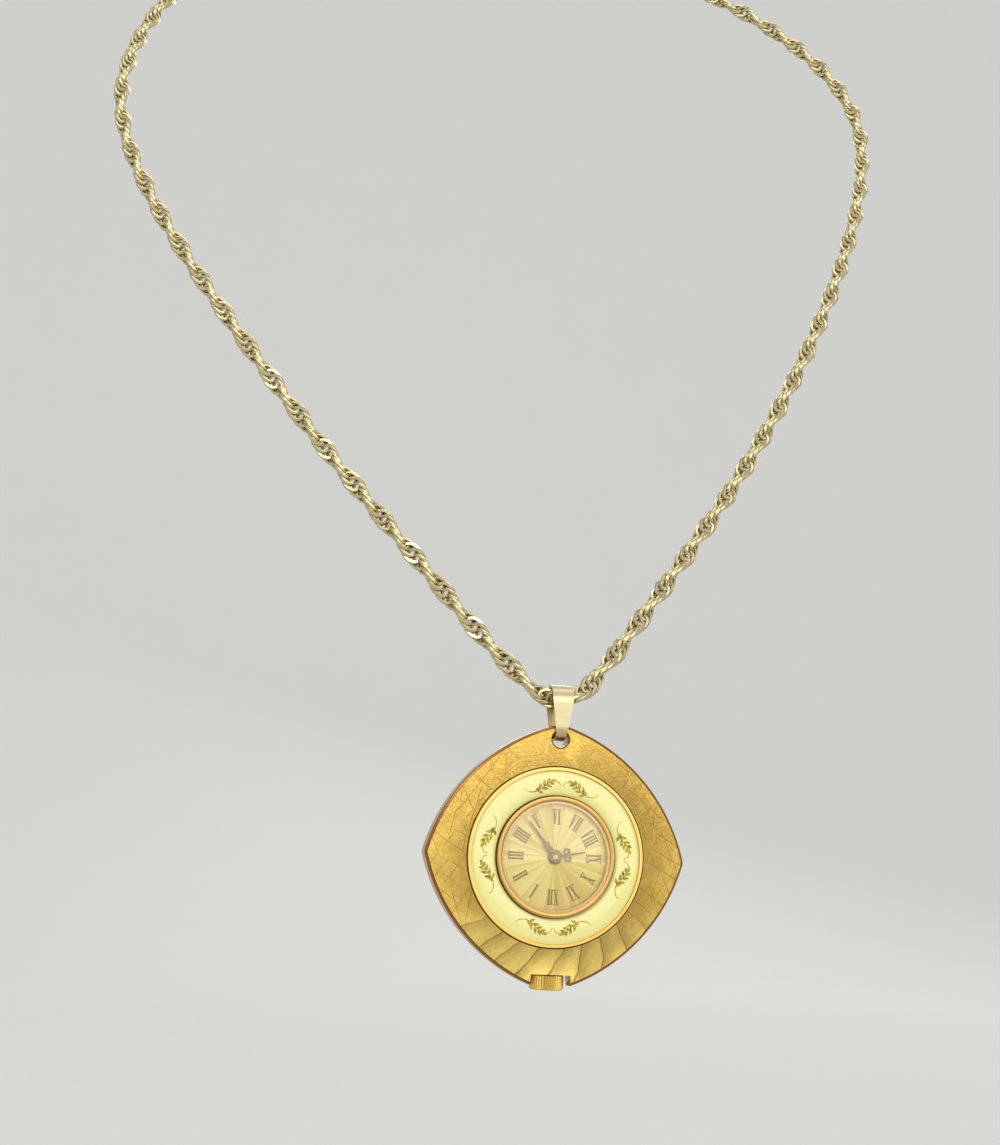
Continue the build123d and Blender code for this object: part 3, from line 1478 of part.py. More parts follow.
make_case()
make_enamel_ring()
make_crystal_ring()
make_crystal()
make_case_back()
make_dial()
make_hour_hand()
make_minute_hand()
make_casing_ring()
make_main_plate()
make_barrel_bridge()
make_train_bridge()
make_balance_cock()
make_pallet_bridge()
make_bridge_screws()
make_barrel()
make_barrel_arbor()
make_mainspring()
make_train()
make_escape_wheel()
make_pallet_fork()
make_balance()
make_hairspring()
make_motion_works()
make_stem()
make_winding_pinion()
make_clutch()
make_levers()
make_winding_wheels()
make_click()
make_crown()
make_crown_fittings()
make_bail()
make_chain()
make_clasp()

os.makedirs("parts", exist_ok=True)
for name, shape in parts.items():
    export_step(shape, os.path.join("parts", name + ".step"))
print("pieces:", len(parts))
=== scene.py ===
import json
import math

import bmesh
import bpy
from mathutils import Matrix, Vector


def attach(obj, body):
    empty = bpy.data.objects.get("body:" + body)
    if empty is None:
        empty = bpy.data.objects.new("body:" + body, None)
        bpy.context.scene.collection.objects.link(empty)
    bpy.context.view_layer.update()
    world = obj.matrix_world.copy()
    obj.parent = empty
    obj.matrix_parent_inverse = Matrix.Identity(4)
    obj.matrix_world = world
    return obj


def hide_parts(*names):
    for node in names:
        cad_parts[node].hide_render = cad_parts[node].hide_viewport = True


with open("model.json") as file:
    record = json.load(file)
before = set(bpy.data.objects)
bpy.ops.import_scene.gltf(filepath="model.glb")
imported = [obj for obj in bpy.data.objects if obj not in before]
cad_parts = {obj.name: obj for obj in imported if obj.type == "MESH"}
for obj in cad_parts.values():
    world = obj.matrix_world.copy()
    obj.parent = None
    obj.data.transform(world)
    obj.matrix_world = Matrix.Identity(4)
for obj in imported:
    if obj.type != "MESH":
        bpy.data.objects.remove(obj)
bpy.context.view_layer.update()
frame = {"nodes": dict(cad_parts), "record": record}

# Sizes are given in millimetres and turned into metres here
mm = 0.001

# The watch hangs with the middle of its case here; its dial faces -Y
watch_middle = Vector((0, -66 * mm, -136 * mm))

# Camera: turned round the pendant, rolled a little, at the photograph's framing
photo_width = 1000
photo_height = 1145
focal_pixels = 2070
pendant_pixel = (553, 857)
camera_turn = -13.0
camera_roll = 2.6
camera_distance = 300 * mm
sensor_width = 36
camera_near = 10 * mm

# Chain: the route of the CAD tube, and the links that follow it
chain_route = [
    (-5.8, 42.5, 51.6),
    (-21, 41.6, 50.8),
    (-38, 36.5, 45.0),
    (-53.5, 26.0, 32.5),
    (-64.2, 12.0, 14.5),
    (-69.2, -1.5, -3.2),
    (-68.2, -9.4, -16.5),
    (-61.2, -20.1, -33.5),
    (-49.2, -31.4, -53.1),
    (-34.2, -43.4, -74.8),
    (-20.2, -54.0, -92.6),
    (-11.2, -60.7, -104.2),
    (-5.9, -64.3, -110.1),
    (-2.4, -66, -113.4),
    (2.4, -66, -113.4),
    (5.7, -64.3, -109.9),
    (10.6, -60.8, -104.1),
    (19.4, -54.1, -92.8),
    (33.2, -43.4, -74.6),
    (47.3, -30.6, -53.0),
    (59.4, -17.7, -29.8),
    (67.3, -6.2, -10.2),
    (70.4, 3.2, 6.0),
    (66.0, 13.3, 20.6),
    (54.5, 26.5, 35.5),
    (38.5, 36.7, 46.2),
    (21.5, 41.8, 51.2),
    (5.8, 42.5, 51.6),
]
route_order = 3
route_resolution = 24
link_wire = 0.64 * mm
link_pitch = 1.22 * mm
link_turn = 28.0
link_width = 2.96 * mm
link_length = 4.2 * mm
link_round = 14
link_wire_round = 6

# Clasp, by the sizes of the CAD pieces
nape = Vector((0, 42.5 * mm, 51.6 * mm))
end_ring_radius = 1.5 * mm
end_ring_wire = 0.38 * mm
end_ring_reach = 3.88 * mm
clasp_middle = Vector((-1.06 * mm, 42.5 * mm, 51.6 * mm))
clasp_radius = 2.4 * mm
clasp_tube = 0.6 * mm
clasp_gap = (108.0, 146.0)
eyelet_radius = 0.95 * mm
eyelet_wire = 0.28 * mm
wire_steps = 48
wire_sides = 14

# Case front: the rings round the dial
rim_front = 1.75 * mm
enamel_inner = 8.8 * mm
enamel_outer = 12.34 * mm
enamel_low = 1.43 * mm
enamel_crown = 0.11 * mm
enamel_edge = 0.12 * mm
enamel_edge_power = 10
enamel_steps = 14
dial_top = 1.15 * mm

# Engraving on the case front, in millimetres: where each ground begins and is whole
upper_ground = (-3, 8)
side_ground = (3, 11)
ray_ground = (7, 11)
# Sets of straight cuts: angle, spacing, reach of a cut, its half width as a share of the spacing
fine_scratches = ((40, 0.5, 0.9, 0.3), (-51, 0.56, 1.1, 0.28), (8, 0.7, 1.3, 0.2))
long_cuts = ((54, 1.7, 5.5, 0.08), (-35, 2.0, 6.5, 0.07), (79, 2.6, 7.0, 0.06), (-68, 2.3, 5.0, 0.06))
broad_facets = ((47, 4.2, 9, 0.5), (-41, 3.7, 8, 0.5))
cut_waver = 0.9
cut_waver_scale = 0.12
cut_break = (0.47, 0.53)
rays_to_radian = 4.3
ray_lean = 0.13
ray_waver = 1.2
ray_waver_scale = 0.1

# Worked edges of the case front, in millimetres: radii, and heights over the watch's middle
face_radii = (12.95, 13.0)
face_heights = (1.72, 1.745)
lip_inner_radii = (12.3, 12.35)
lip_outer_radii = (12.76, 12.8)
lip_heights = (1.5, 1.6)
moat_radii = (12.74, 12.78)
moat_heights = (1.6, 1.7)
bevel_radii = (13.5, 14)
bevel_heights = (1.3, 1.36)

# Worked edges of the ring that holds the crystal, in millimetres
bezel_wall_radii = (7.75, 7.95)
bezel_rim_radii = (8.58, 8.68)

# Crystal and the ring that holds it
bezel_inner = 7.55 * mm
bezel_ledge = 7.92 * mm
bezel_foot = 8.14 * mm
bezel_shoulder = 8.585 * mm
bezel_outer = 8.76 * mm
bezel_low = 1.17 * mm
bezel_flange = 1.42 * mm
bezel_seat = 2.07 * mm
bezel_top = 2.25 * mm
bezel_soft = 0.05 * mm
crystal_edge = 7.9 * mm
crystal_low = 2.09 * mm
crystal_edge_top = 2.27 * mm
crystal_rise = 1.07 * mm
crystal_hollow = 7.4 * mm
crystal_hollow_rise = 0.75 * mm
crystal_steps = 16

# Sprigs on the enamel: pairs at the top, the right, the bottom and the left
sprig_radius = 10.45 * mm
sprig_offset = 15.6
sprig_axes = (0.0, 87.5, 180.0, 270.0)
sprig_length = 6.6 * mm
stem_runs = 40
stem_swing = 30
stem_shift = 0.06
stem_hook = 70
stem_hook_power = 5
stem_half = 0.065 * mm
stem_thinnest = 0.75
stem_swell = 0.5
leaf_places = (0.3, 0.35, 0.41, 0.46, 0.52, 0.57, 0.62, 0.67)
leaf_longest_place = 0.46
leaf_spread = 40
leaf_sway = 8
leaf_shrink = 1.1
leaf_length = 1.15 * mm
leaf_width = 0.47 * mm
# One side of a leaf, as shares of its length and of its half width
leaf_side = ((0.2, 0.55), (0.45, 1.0), (0.72, 0.7))
paint_lift = 0.016 * mm
paint_depth = 0.02 * mm
paint_step = 0.0002 * mm

# Numerals on the dial, from I to XII
numerals = ("I", "II", "III", "IIII", "V", "VI", "VII", "VIII", "IX", "X", "XI", "XII")
numeral_inner = 4.65 * mm
numeral_outer = 6.75 * mm
numeral_stroke = 0.27 * mm
numeral_hair = 0.1 * mm
numeral_serif = 0.08 * mm
letter_widths = {"I": 0.41 * mm, "V": 0.78 * mm, "X": 0.86 * mm}
letter_spread = 0.17 * mm
numeral_lift = 0.02 * mm
numeral_step = 0.0005 * mm

# Meshes: steps of a full turn about the dial, angles of edges that stay crisp, corners that merge
turn_steps = 128
crisp_edge = 50
crisp_link_edge = 60
crisp_crystal_edge = 40
crisp_copy_edge = 28
crisp_case_edge = 20
merge_gap = 1e-7
copy_merge_gap = 1e-6

# Stage, in metres: a floor that curves up into a backdrop
floor_level = -0.2
floor_front = -0.9
wall_depth = 1.1
wall_top = 2.5
wall_bend = 0.4
bend_steps = 12
stage_reach = 6.0
stage_glow = 0.6

# Lamps, each facing the pendant: name, place, size, power and tone
lamps = (
    ("front_lamp", (0.16, -0.9, 0.16), (0.9, 0.7), 3.4, (1.0, 0.99, 0.97)),
    ("key_lamp", (-0.36, -0.48, 0.3), (0.2, 0.2), 0.8, (1.0, 0.98, 0.94)),
    ("rear_lamp", (0.3, 0.75, 0.3), (0.6, 0.6), 1.8, (1.0, 1.0, 1.0)),
    ("top_lamp", (0.0, -0.1, 0.5), (0.5, 0.3), 0.5, (1.0, 1.0, 1.0)),
)

# Sky: its light, what a gloss or the camera sees over that, and how much less the camera sees
sky_colour = (0.98, 0.98, 0.98, 1)
sky_light = 0.42
sky_seen_over = 0.33
sky_camera_under = 0.15


class Signal:
    """A value in a finish's node tree, with arithmetic that adds Math nodes."""

    def __init__(self, finish, socket):
        self.finish = finish
        self.socket = socket

    def math(self, operation, first, second=None):
        return self.finish.node("ShaderNodeMath", {"operation": operation}, {0: first, 1: second})

    def __add__(self, other):
        return self.math("ADD", self, other)

    def __radd__(self, other):
        return self.math("ADD", other, self)

    def __sub__(self, other):
        return self.math("SUBTRACT", self, other)

    def __rsub__(self, other):
        return self.math("SUBTRACT", other, self)

    def __mul__(self, other):
        return self.math("MULTIPLY", self, other)

    def __truediv__(self, other):
        return self.math("DIVIDE", self, other)

    def __pow__(self, other):
        return self.math("POWER", self, other)

    def __abs__(self):
        return self.math("ABSOLUTE", self)

    def sine(self):
        return self.math("SINE", self)

    def fraction(self):
        return self.math("FRACT", self)

    def least(self, other):
        return self.math("MINIMUM", self, other)

    def most(self, other):
        return self.math("MAXIMUM", self, other)

    def ramp(self, start, end):
        """0 below start, 1 above end, and eased between them."""
        settings = {"interpolation_type": "SMOOTHSTEP", "clamp": True}
        return self.finish.node("ShaderNodeMapRange", settings, {0: self, 1: start, 2: end})


class Finish:
    """A material in the making: every node comes from its node method."""

    def __init__(self, name, world=None):
        self.material = world or bpy.data.materials.new(name)
        self.material.use_nodes = True
        self.tree = self.material.node_tree
        self.tree.nodes.clear()

    def node(self, kind, settings=None, sockets=None, output=0):
        made = self.tree.nodes.new(kind)
        for key, value in (settings or {}).items():
            if key == "stops":
                self.set_stops(made.color_ramp, value)
            else:
                setattr(made, key, value)
        for key, value in (sockets or {}).items():
            if isinstance(value, Signal):
                self.tree.links.new(value.socket, made.inputs[key])
            elif value is not None:
                made.inputs[key].default_value = value
        return Signal(self, made.outputs[output]) if made.outputs else None

    def set_stops(self, ramp, stops):
        """Give a colour ramp its stops, as pairs of place and colour."""
        while len(ramp.elements) < len(stops):
            ramp.elements.new(1.0)
        for element, (place, colour) in zip(ramp.elements, stops):
            element.position = place
            element.color = colour

    def coordinates(self, middle=(0, 0, 0), turn=(0, 0, 0), stretch=(1, 1, 1)):
        """Object coordinates in millimetres from the middle, turned and stretched."""
        place = self.node("ShaderNodeTexCoord", output="Object")
        moved = self.node("ShaderNodeVectorMath", {"operation": "SUBTRACT"}, {0: place, 1: tuple(middle)})
        turned = tuple(math.radians(angle) for angle in turn)
        scale = tuple(factor / mm for factor in stretch)
        return self.node("ShaderNodeMapping", {}, {"Vector": moved, "Rotation": turned, "Scale": scale})

    def parts(self, vector):
        """The three parts of a vector."""
        return [self.node("ShaderNodeSeparateXYZ", {}, {0: vector}, output) for output in range(3)]

    def noise(self, vector, scale, detail=3.0, roughness=0.55):
        sockets = {"Vector": vector, "Scale": scale, "Detail": detail, "Roughness": roughness}
        return self.node("ShaderNodeTexNoise", {}, sockets)

    def blend(self, amount, first, second):
        """Colour between two colours, by the Mix node's sockets for colours."""
        return self.node("ShaderNodeMix", {"data_type": "RGBA"}, {0: amount, 6: first, 7: second}, 2)

    def layered(self, colour, layers):
        """Colour with more colours laid over it, each as an amount and an everyday colour."""
        for amount, tone in layers:
            colour = self.blend(amount, colour, shade(*tone))
        return colour

    def bump(self, height, distance, strength=1.0):
        return self.node("ShaderNodeBump", {}, {"Height": height, "Distance": distance, "Strength": strength})

    def surface(self, **sockets):
        """End the tree in one principled shader and return the material."""
        named = {name.replace("_", " "): value for name, value in sockets.items()}
        shader = self.node("ShaderNodeBsdfPrincipled", {}, named)
        self.node("ShaderNodeOutputMaterial", {}, {"Surface": shader})
        return self.material


def shade(red, green, blue):
    """Linear colour of an everyday colour in steps of 0 to 255."""
    parts = []
    for step in (red, green, blue):
        part = step / 255
        parts.append(part / 12.92 if part <= 0.04045 else ((part + 0.055) / 1.055) ** 2.4)
    return (*parts, 1.0)


def round_the_dial(finish):
    """Across, up, radius and angle about the dial's middle, in millimetres and radians."""
    across, depth, up = finish.parts(finish.coordinates(watch_middle))
    radius = (across * across + up * up) ** 0.5
    angle = finish.node("ShaderNodeMath", {"operation": "ARCTAN2"}, {0: up, 1: across})
    return across, depth, up, radius, angle


def strokes(finish, angle, spacing, reach, width):
    """Straight cuts at an angle, broken along their length: 1 on the flat, 0 in a cut."""
    along, _, across = finish.parts(finish.coordinates(watch_middle, (0, angle, 0)))
    waver = finish.noise(finish.coordinates(watch_middle), cut_waver_scale, 1.0) * cut_waver
    lane = across / spacing + waver
    number = finish.node("ShaderNodeMath", {"operation": "FLOOR"}, {0: lane})
    cut = abs(lane.fraction() - 0.5).ramp(0.0, width)
    # Odd factors keep the breaks of neighbouring lanes apart
    stretch = finish.node("ShaderNodeCombineXYZ", {}, {0: along / reach + number * 3.7, 1: number * 1.3})
    return cut.most(finish.noise(stretch, 1.0, 1.0).ramp(*cut_break))


def crossed(finish, sets):
    """Several sets of straight cuts over each other."""
    flat = None
    for values in sets:
        cut = strokes(finish, *values)
        flat = flat.least(cut) if flat else cut
    return flat


def engraved_case():
    """Gilt brass with an engraved face, plain bevels and a polished lip, with painted shade and painted light
    laid into its colour.
    """
    finish = Finish("engraved_case")
    across, depth, up, radius, angle = round_the_dial(finish)
    height = 0 - depth
    above = up.ramp(*upper_ground)
    beside = abs(across).ramp(*side_ground)
    below = (0 - up).ramp(*ray_ground)
    rest = 1 - below * 0.7
    scratches = crossed(finish, fine_scratches)
    cuts = crossed(finish, long_cuts)
    first, second = [strokes(finish, *values) for values in broad_facets]
    facet = (first + second) * 0.5
    waver = finish.noise(finish.coordinates(watch_middle), ray_waver_scale) * ray_waver
    fan = angle * rays_to_radian + radius * ray_lean + waver
    ray = fan.fraction()
    hair = finish.noise(finish.node("ShaderNodeCombineXYZ", {}, {0: fan * 9, 1: radius * 0.5}), 1.0, 2.0)
    grain = finish.noise(finish.coordinates(watch_middle, (0, 38, 0), (1.2, 1, 7)), 1.0, 4.0)
    mottle = finish.noise(finish.coordinates(watch_middle), 1.1, 4.0)
    relief = scratches * (above * 0.01 + 0.005) * rest + cuts * (beside * 0.02 + 0.01) * rest
    relief = relief + facet * beside * 0.1 + ray * below * 0.3 + grain * 0.012
    lip = radius.ramp(*lip_inner_radii) * (1 - radius.ramp(*lip_outer_radii)) * height.ramp(*lip_heights)
    face = height.ramp(*face_heights) * radius.ramp(*face_radii)
    # Moat between the lip and the engraved face, painted dark as painted shadow beside the lip
    moat = height.ramp(*moat_heights) * radius.ramp(*moat_radii) * (1 - face) * (1 - lip)
    # Bevel, painted dark as a painted reflection of dark surroundings
    bevel = height.ramp(*bevel_heights) * radius.ramp(*bevel_radii)
    # Painted shade and light of the fan's facets: darker towards one side and along each step, with fine hair
    # lines
    ray_painted_shade_and_hair = (1 - ray).ramp(0.3, 1.0) * 0.34 + ray.ramp(0.9, 0.97) * 0.75 + (hair - 0.5) * 0.5
    gold = finish.layered(
        finish.blend(mottle.ramp(0.3, 0.7), shade(242, 205, 104), shade(253, 222, 126)),
        [
            # Painted shade: the upper ground darker
            (above * 0.26, (204, 166, 80)),
            # Painted light: the lower ground lighter
            (below * 0.6, (255, 232, 142)),
            # Painted shade in the fine scratches
            ((1 - scratches) * (above * 0.24 + 0.12) * rest, (164, 128, 58)),
            # Painted shade in the long cuts
            ((1 - cuts) * (beside * 0.3 + 0.12) * rest, (160, 122, 54)),
            # Painted shade across the broad facets
            (facet * beside * 0.22, (180, 142, 66)),
            # Painted shade and light of the fan's facets, with fine hair lines
            (ray_painted_shade_and_hair * below, (156, 118, 50)),
        ],
    )
    plain = finish.layered(
        finish.blend(mottle, shade(214, 174, 98), shade(190, 148, 80)),
        # Painted reflection: the bevel darker reddish brown; the lip keeps its own polished colour
        [(bevel, (150, 106, 64)), (lip, (222, 184, 106))],
    )
    return finish.surface(
        # Painted shadow in the moat
        Base_Color=finish.layered(finish.blend(face, plain, gold), [(moat, (96, 70, 36))]),
        Metallic=1.0,
        Roughness=0.26 + face * 0.3 + grain * 0.08,
        Normal=finish.bump(relief * face, mm),
    )


def bezel_gilt():
    """Brownish gilt ring with fine turned lines, its outer slope painted dark as painted shade and its inner
    wall painted pale tan and less metallic as painted light.
    """
    finish = Finish("bezel_gilt")
    _, _, _, radius, angle = round_the_dial(finish)
    lines = finish.noise(finish.node("ShaderNodeCombineXYZ", {}, {0: radius, 1: angle * 0.2}), 9.0, 3.0)
    tone = finish.noise(finish.coordinates(watch_middle), 0.5, 3.0)
    # Inner wall: painted light, pale tan and less metallic in place of the dark that its metal mirrors
    wall = 1 - radius.ramp(*bezel_wall_radii)
    colour = finish.layered(
        finish.blend(lines * 0.4 + tone * 0.6, shade(176, 140, 76), shade(210, 174, 104)),
        # Painted light on the inner wall, and painted shade in dark brown on the outer slope
        [(wall, (232, 198, 134)), (radius.ramp(*bezel_rim_radii), (84, 58, 28))],
    )
    return finish.surface(
        Base_Color=colour,
        # The inner wall less metallic, as painted light
        Metallic=1 - wall * 0.7,
        Roughness=0.3 + tone * 0.1 + wall * 0.1,
        Normal=finish.bump(lines, 0.008 * mm, 0.6),
    )


def brushed(name, light, dark, stretch, roughness=0.28):
    """Metal with fine lines drawn along one direction and a slow change of tone."""
    finish = Finish(name)
    lines = finish.noise(finish.coordinates(watch_middle, stretch=stretch), 1.0, 5.0, 0.65)
    tone = finish.noise(finish.coordinates(watch_middle), 0.8, 3.0)
    return finish.surface(
        Base_Color=finish.blend(lines * 0.6 + tone * 0.4, dark, light),
        Metallic=1.0,
        Roughness=roughness + tone * 0.08 + lines * 0.06,
        Normal=finish.bump(lines, 0.01 * mm, 0.7),
    )


def frosted(name, light, dark, grain, roughness=0.42):
    """Metal with a fine even grain and slow tarnish."""
    finish = Finish(name)
    fine = finish.noise(finish.coordinates(watch_middle), grain, 2.0)
    tone = finish.noise(finish.coordinates(watch_middle), 0.6, 4.0)
    return finish.surface(
        Base_Color=finish.blend(tone, dark, light),
        Metallic=1.0,
        Roughness=roughness + fine * 0.1,
        Normal=finish.bump(fine, 0.012 * mm, 0.6),
    )


def turned(name, light, dark, rings):
    """Metal with fine rings turned round the dial's middle."""
    finish = Finish(name)
    _, _, _, radius, _ = round_the_dial(finish)
    lines = finish.noise(finish.node("ShaderNodeCombineXYZ", {}, {0: radius}), rings, 4.0, 0.7)
    tone = finish.noise(finish.coordinates(watch_middle), 0.5, 3.0)
    return finish.surface(
        Base_Color=finish.blend(lines * 0.5 + tone * 0.5, dark, light),
        Metallic=1.0,
        Roughness=0.3 + tone * 0.1,
        Normal=finish.bump(lines, 0.008 * mm, 0.7),
    )


def enamel():
    """Glossy cream enamel, barely uneven in tone and surface."""
    finish = Finish("cream_enamel")
    slow = finish.noise(finish.coordinates(watch_middle), 0.35, 3.0)
    fine = finish.noise(finish.coordinates(watch_middle), 2.2, 2.0)
    return finish.surface(
        Base_Color=finish.blend(slow, shade(246, 238, 146), shade(251, 245, 162)),
        Roughness=0.16 + fine * 0.06,
        Normal=finish.bump(slow + fine * 0.2, 0.05 * mm, 0.25),
        Coat_Weight=0.6,
        Coat_Roughness=0.06,
        IOR=1.52,
    )


def sprig_paint():
    """Painted and fired leaf colours, from olive to gold."""
    finish = Finish("sprig_paint")
    patch = finish.noise(finish.coordinates(watch_middle), 1.9, 2.0)
    stops = [
        (0.36, shade(120, 112, 12)),
        (0.46, shade(164, 148, 16)),
        (0.54, shade(208, 180, 34)),
        (0.66, shade(148, 128, 24)),
    ]
    colour = finish.node("ShaderNodeValToRGB", {"stops": stops}, {0: patch})
    return finish.surface(Base_Color=colour, Roughness=0.3 + patch * 0.1, Metallic=0.15)


def sunburst_dial():
    """Champagne dial brushed outwards from the middle in rays, with light and dark wedges and a slow sheen
    painted into its colour as its reflection.
    """
    finish = Finish("sunburst_dial")
    _, _, _, radius, angle = round_the_dial(finish)
    spoke = finish.node("ShaderNodeCombineXYZ", {}, {0: angle * 26, 1: radius * 0.08})
    rays = finish.noise(spoke, 1.0, 5.0, 0.7)
    wide = finish.noise(finish.node("ShaderNodeCombineXYZ", {}, {0: angle * 1.7}), 1.4, 2.0)
    fine = finish.noise(finish.coordinates(watch_middle), 6.0, 2.0)
    # Painted reflection: a slow sheen round the dial, and light and dark wedges, as a brushed dial mirrors
    # its lamps
    sheen = (angle * 2 + 0.5).sine() * 0.5 + 0.5
    painted_wedge_light = (angle * 3.5 + wide * 2.4).fraction()
    # Brushed rays, with the painted reflection laid over them
    tone = rays * 0.38 + painted_wedge_light * 0.34 + sheen * 0.22
    colour = finish.blend(tone.ramp(0.2, 0.75), shade(226, 200, 106), shade(255, 240, 152))
    return finish.surface(
        Base_Color=colour,
        Metallic=0.15,
        Roughness=0.34 + fine * 0.08,
        Normal=finish.bump(rays * 0.8 + fine * 0.1, 0.03 * mm, 0.5),
    )


def clear_crystal():
    """Clear glass: the sheen of its surface over what lies behind it."""
    finish = Finish("clear_crystal")
    haze = finish.noise(finish.coordinates(watch_middle), 0.9, 3.0)
    edge = finish.node("ShaderNodeFresnel", {}, {"IOR": 1.5})
    through = finish.node("ShaderNodeBsdfTransparent", {}, {0: (0.995, 0.995, 0.985, 1)})
    gloss = finish.node(
        "ShaderNodeBsdfPrincipled",
        {},
        {"Base Color": (1, 1, 1, 1), "Metallic": 1.0, "Roughness": 0.03 + haze * 0.03},
    )
    mixed = finish.node("ShaderNodeMixShader", {}, {0: edge * 0.7 + haze * 0.01, 1: through, 2: gloss})
    finish.node("ShaderNodeOutputMaterial", {}, {"Surface": mixed})
    return finish.material


def rubber():
    """Matt black sealing rubber."""
    finish = Finish("seal_rubber")
    grain = finish.noise(finish.coordinates(watch_middle), 8.0, 3.0)
    return finish.surface(
        Base_Color=finish.blend(grain, shade(24, 24, 24), shade(44, 42, 40)),
        Roughness=0.6 + grain * 0.2,
        Normal=finish.bump(grain, 0.01 * mm, 0.5),
    )


def seen_directly(finish):
    """1 for what the camera, a gloss or a clear piece shows, 0 for what only lights."""
    kinds = ("Is Camera Ray", "Is Glossy Ray", "Is Transmission Ray")
    camera, glossy, passing = [finish.node("ShaderNodeLightPath", output=kind) for kind in kinds]
    return camera.most(glossy).most(passing)


def floor_paint():
    """Plain matt floor and backdrop, pale where they are seen, with their shadows kept."""
    finish = Finish("floor_paint")
    grain = finish.noise(finish.coordinates(), 0.02, 2.0)
    tone = finish.blend(grain * 0.1, shade(228, 228, 225), shade(214, 214, 211))
    matt = finish.node("ShaderNodeBsdfDiffuse", {}, {"Color": tone})
    glow = finish.node("ShaderNodeEmission", {}, {"Color": tone, "Strength": 1.0})
    mixed = finish.node("ShaderNodeMixShader", {}, {0: seen_directly(finish) * stage_glow, 1: matt, 2: glow})
    finish.node("ShaderNodeOutputMaterial", {}, {"Surface": mixed})
    return finish.material


def on_watch(across, up, out):
    """Point of the watch from its dial's middle: across, up the case, out of the dial."""
    return watch_middle + Vector((across, -out, up))


def polar(radius, degrees):
    """Place in a plane at a distance and an angle."""
    angle = math.radians(degrees)
    return Vector((radius * math.cos(angle), radius * math.sin(angle)))


def mend(mesh, gap=0.0, outward=True):
    """Merge corners of a mesh that lie within a gap, and turn its faces outwards."""
    shape = bmesh.new()
    shape.from_mesh(mesh)
    if gap:
        bmesh.ops.remove_doubles(shape, verts=shape.verts, dist=gap)
    if outward:
        bmesh.ops.recalc_face_normals(shape, faces=shape.faces)
    shape.to_mesh(mesh)
    shape.free()


def mesh_of(name, points, faces, gap=merge_gap):
    """Mesh from points and faces, closed where they meet, its faces pointing outwards."""
    mesh = bpy.data.meshes.new(name)
    mesh.from_pydata([tuple(point) for point in points], [], faces)
    mend(mesh, gap)
    return mesh


def joined(shapes):
    """One list of points and one of faces for several pairs of points and faces."""
    points = []
    faces = []
    for more_points, more_faces in shapes:
        faces += [tuple(index + len(points) for index in face) for face in more_faces]
        points += more_points
    return points, faces


def slab(low, high):
    """Points and faces of a thin plate between two outlines with as many points."""
    count = len(low)
    faces = [tuple(reversed(range(count))), tuple(range(count, 2 * count))]
    for index in range(count):
        after = (index + 1) % count
        faces.append((index, after, count + after, count + index))
    return low + high, faces


def soften(mesh, degrees=crisp_edge):
    """Smooth shading, with edges sharper than this kept crisp."""
    mesh.shade_smooth()
    mesh.set_sharp_from_angle(angle=math.radians(degrees))


def add_piece(name, mesh, body, finish, replaced=()):
    """Show a mesh as a piece that moves with its body."""
    piece = bpy.data.objects.new(name, mesh)
    bpy.context.scene.collection.objects.link(piece)
    mesh.materials.clear()
    mesh.materials.append(finish)
    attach(piece, body)
    if replaced:
        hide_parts(*replaced)
    return piece


def smooth_copy(node, name, body, finish, degrees=crisp_copy_edge):
    """A node's own shape with its corners merged and its round walls shaded smooth."""
    mesh = frame["nodes"][node].data.copy()
    mend(mesh, copy_merge_gap, outward=False)
    soften(mesh, degrees)
    add_piece(name, mesh, body, finish, [node])


def spun_ring(profile):
    """Points and faces of a closed profile of radius and height turned round the dial."""
    points = []
    faces = []
    count = len(profile)
    for step in range(turn_steps):
        for radius, out in profile:
            flat = polar(radius, 360 * step / turn_steps)
            points.append(on_watch(flat.x, flat.y, out))
        here = step * count
        there = (step + 1) % turn_steps * count
        for index in range(count):
            after = (index + 1) % count
            faces.append((here + index, here + after, there + after, there + index))
    return points, faces


def bent_bar(middle, across, up, radius, wire, start=0, end=360):
    """Round wire bent about a middle, in the plane of two directions, its ends closed."""
    points = []
    faces = []
    whole = end - start >= 360
    rows = wire_steps if whole else wire_steps + 1
    out_of_plane = across.cross(up)
    for row in range(rows):
        turn = math.radians(start + (end - start) * row / wire_steps)
        away = across * math.cos(turn) + up * math.sin(turn)
        for side in range(wire_sides):
            angle = 2 * math.pi * side / wire_sides
            offset = away * (wire * math.cos(angle)) + out_of_plane * (wire * math.sin(angle))
            points.append(middle + away * radius + offset)
    for row in range(wire_steps):
        here = row * wire_sides
        there = (row + 1) % rows * wire_sides
        for side in range(wire_sides):
            after = (side + 1) % wire_sides
            faces.append((here + side, here + after, there + after, there + side))
    if not whole:
        faces.append(tuple(range(wire_sides)))
        faces.append(tuple(wire_steps * wire_sides + side for side in range(wire_sides)))
    return points, faces


def chain_line():
    """The route as one smooth line of short edges."""
    curve = bpy.data.curves.new("chain_route", "CURVE")
    curve.dimensions = "3D"
    curve.resolution_u = route_resolution
    spline = curve.splines.new("NURBS")
    spline.points.add(len(chain_route) - 1)
    for point, place in zip(spline.points, chain_route):
        point.co = (*(Vector(place) * mm), 1.0)
    spline.order_u = route_order
    spline.use_endpoint_u = True
    route = bpy.data.objects.new("chain_route", curve)
    bpy.context.scene.collection.objects.link(route)
    bpy.context.view_layer.update()
    line = bpy.data.meshes.new_from_object(route)
    bpy.data.objects.remove(route)
    return line


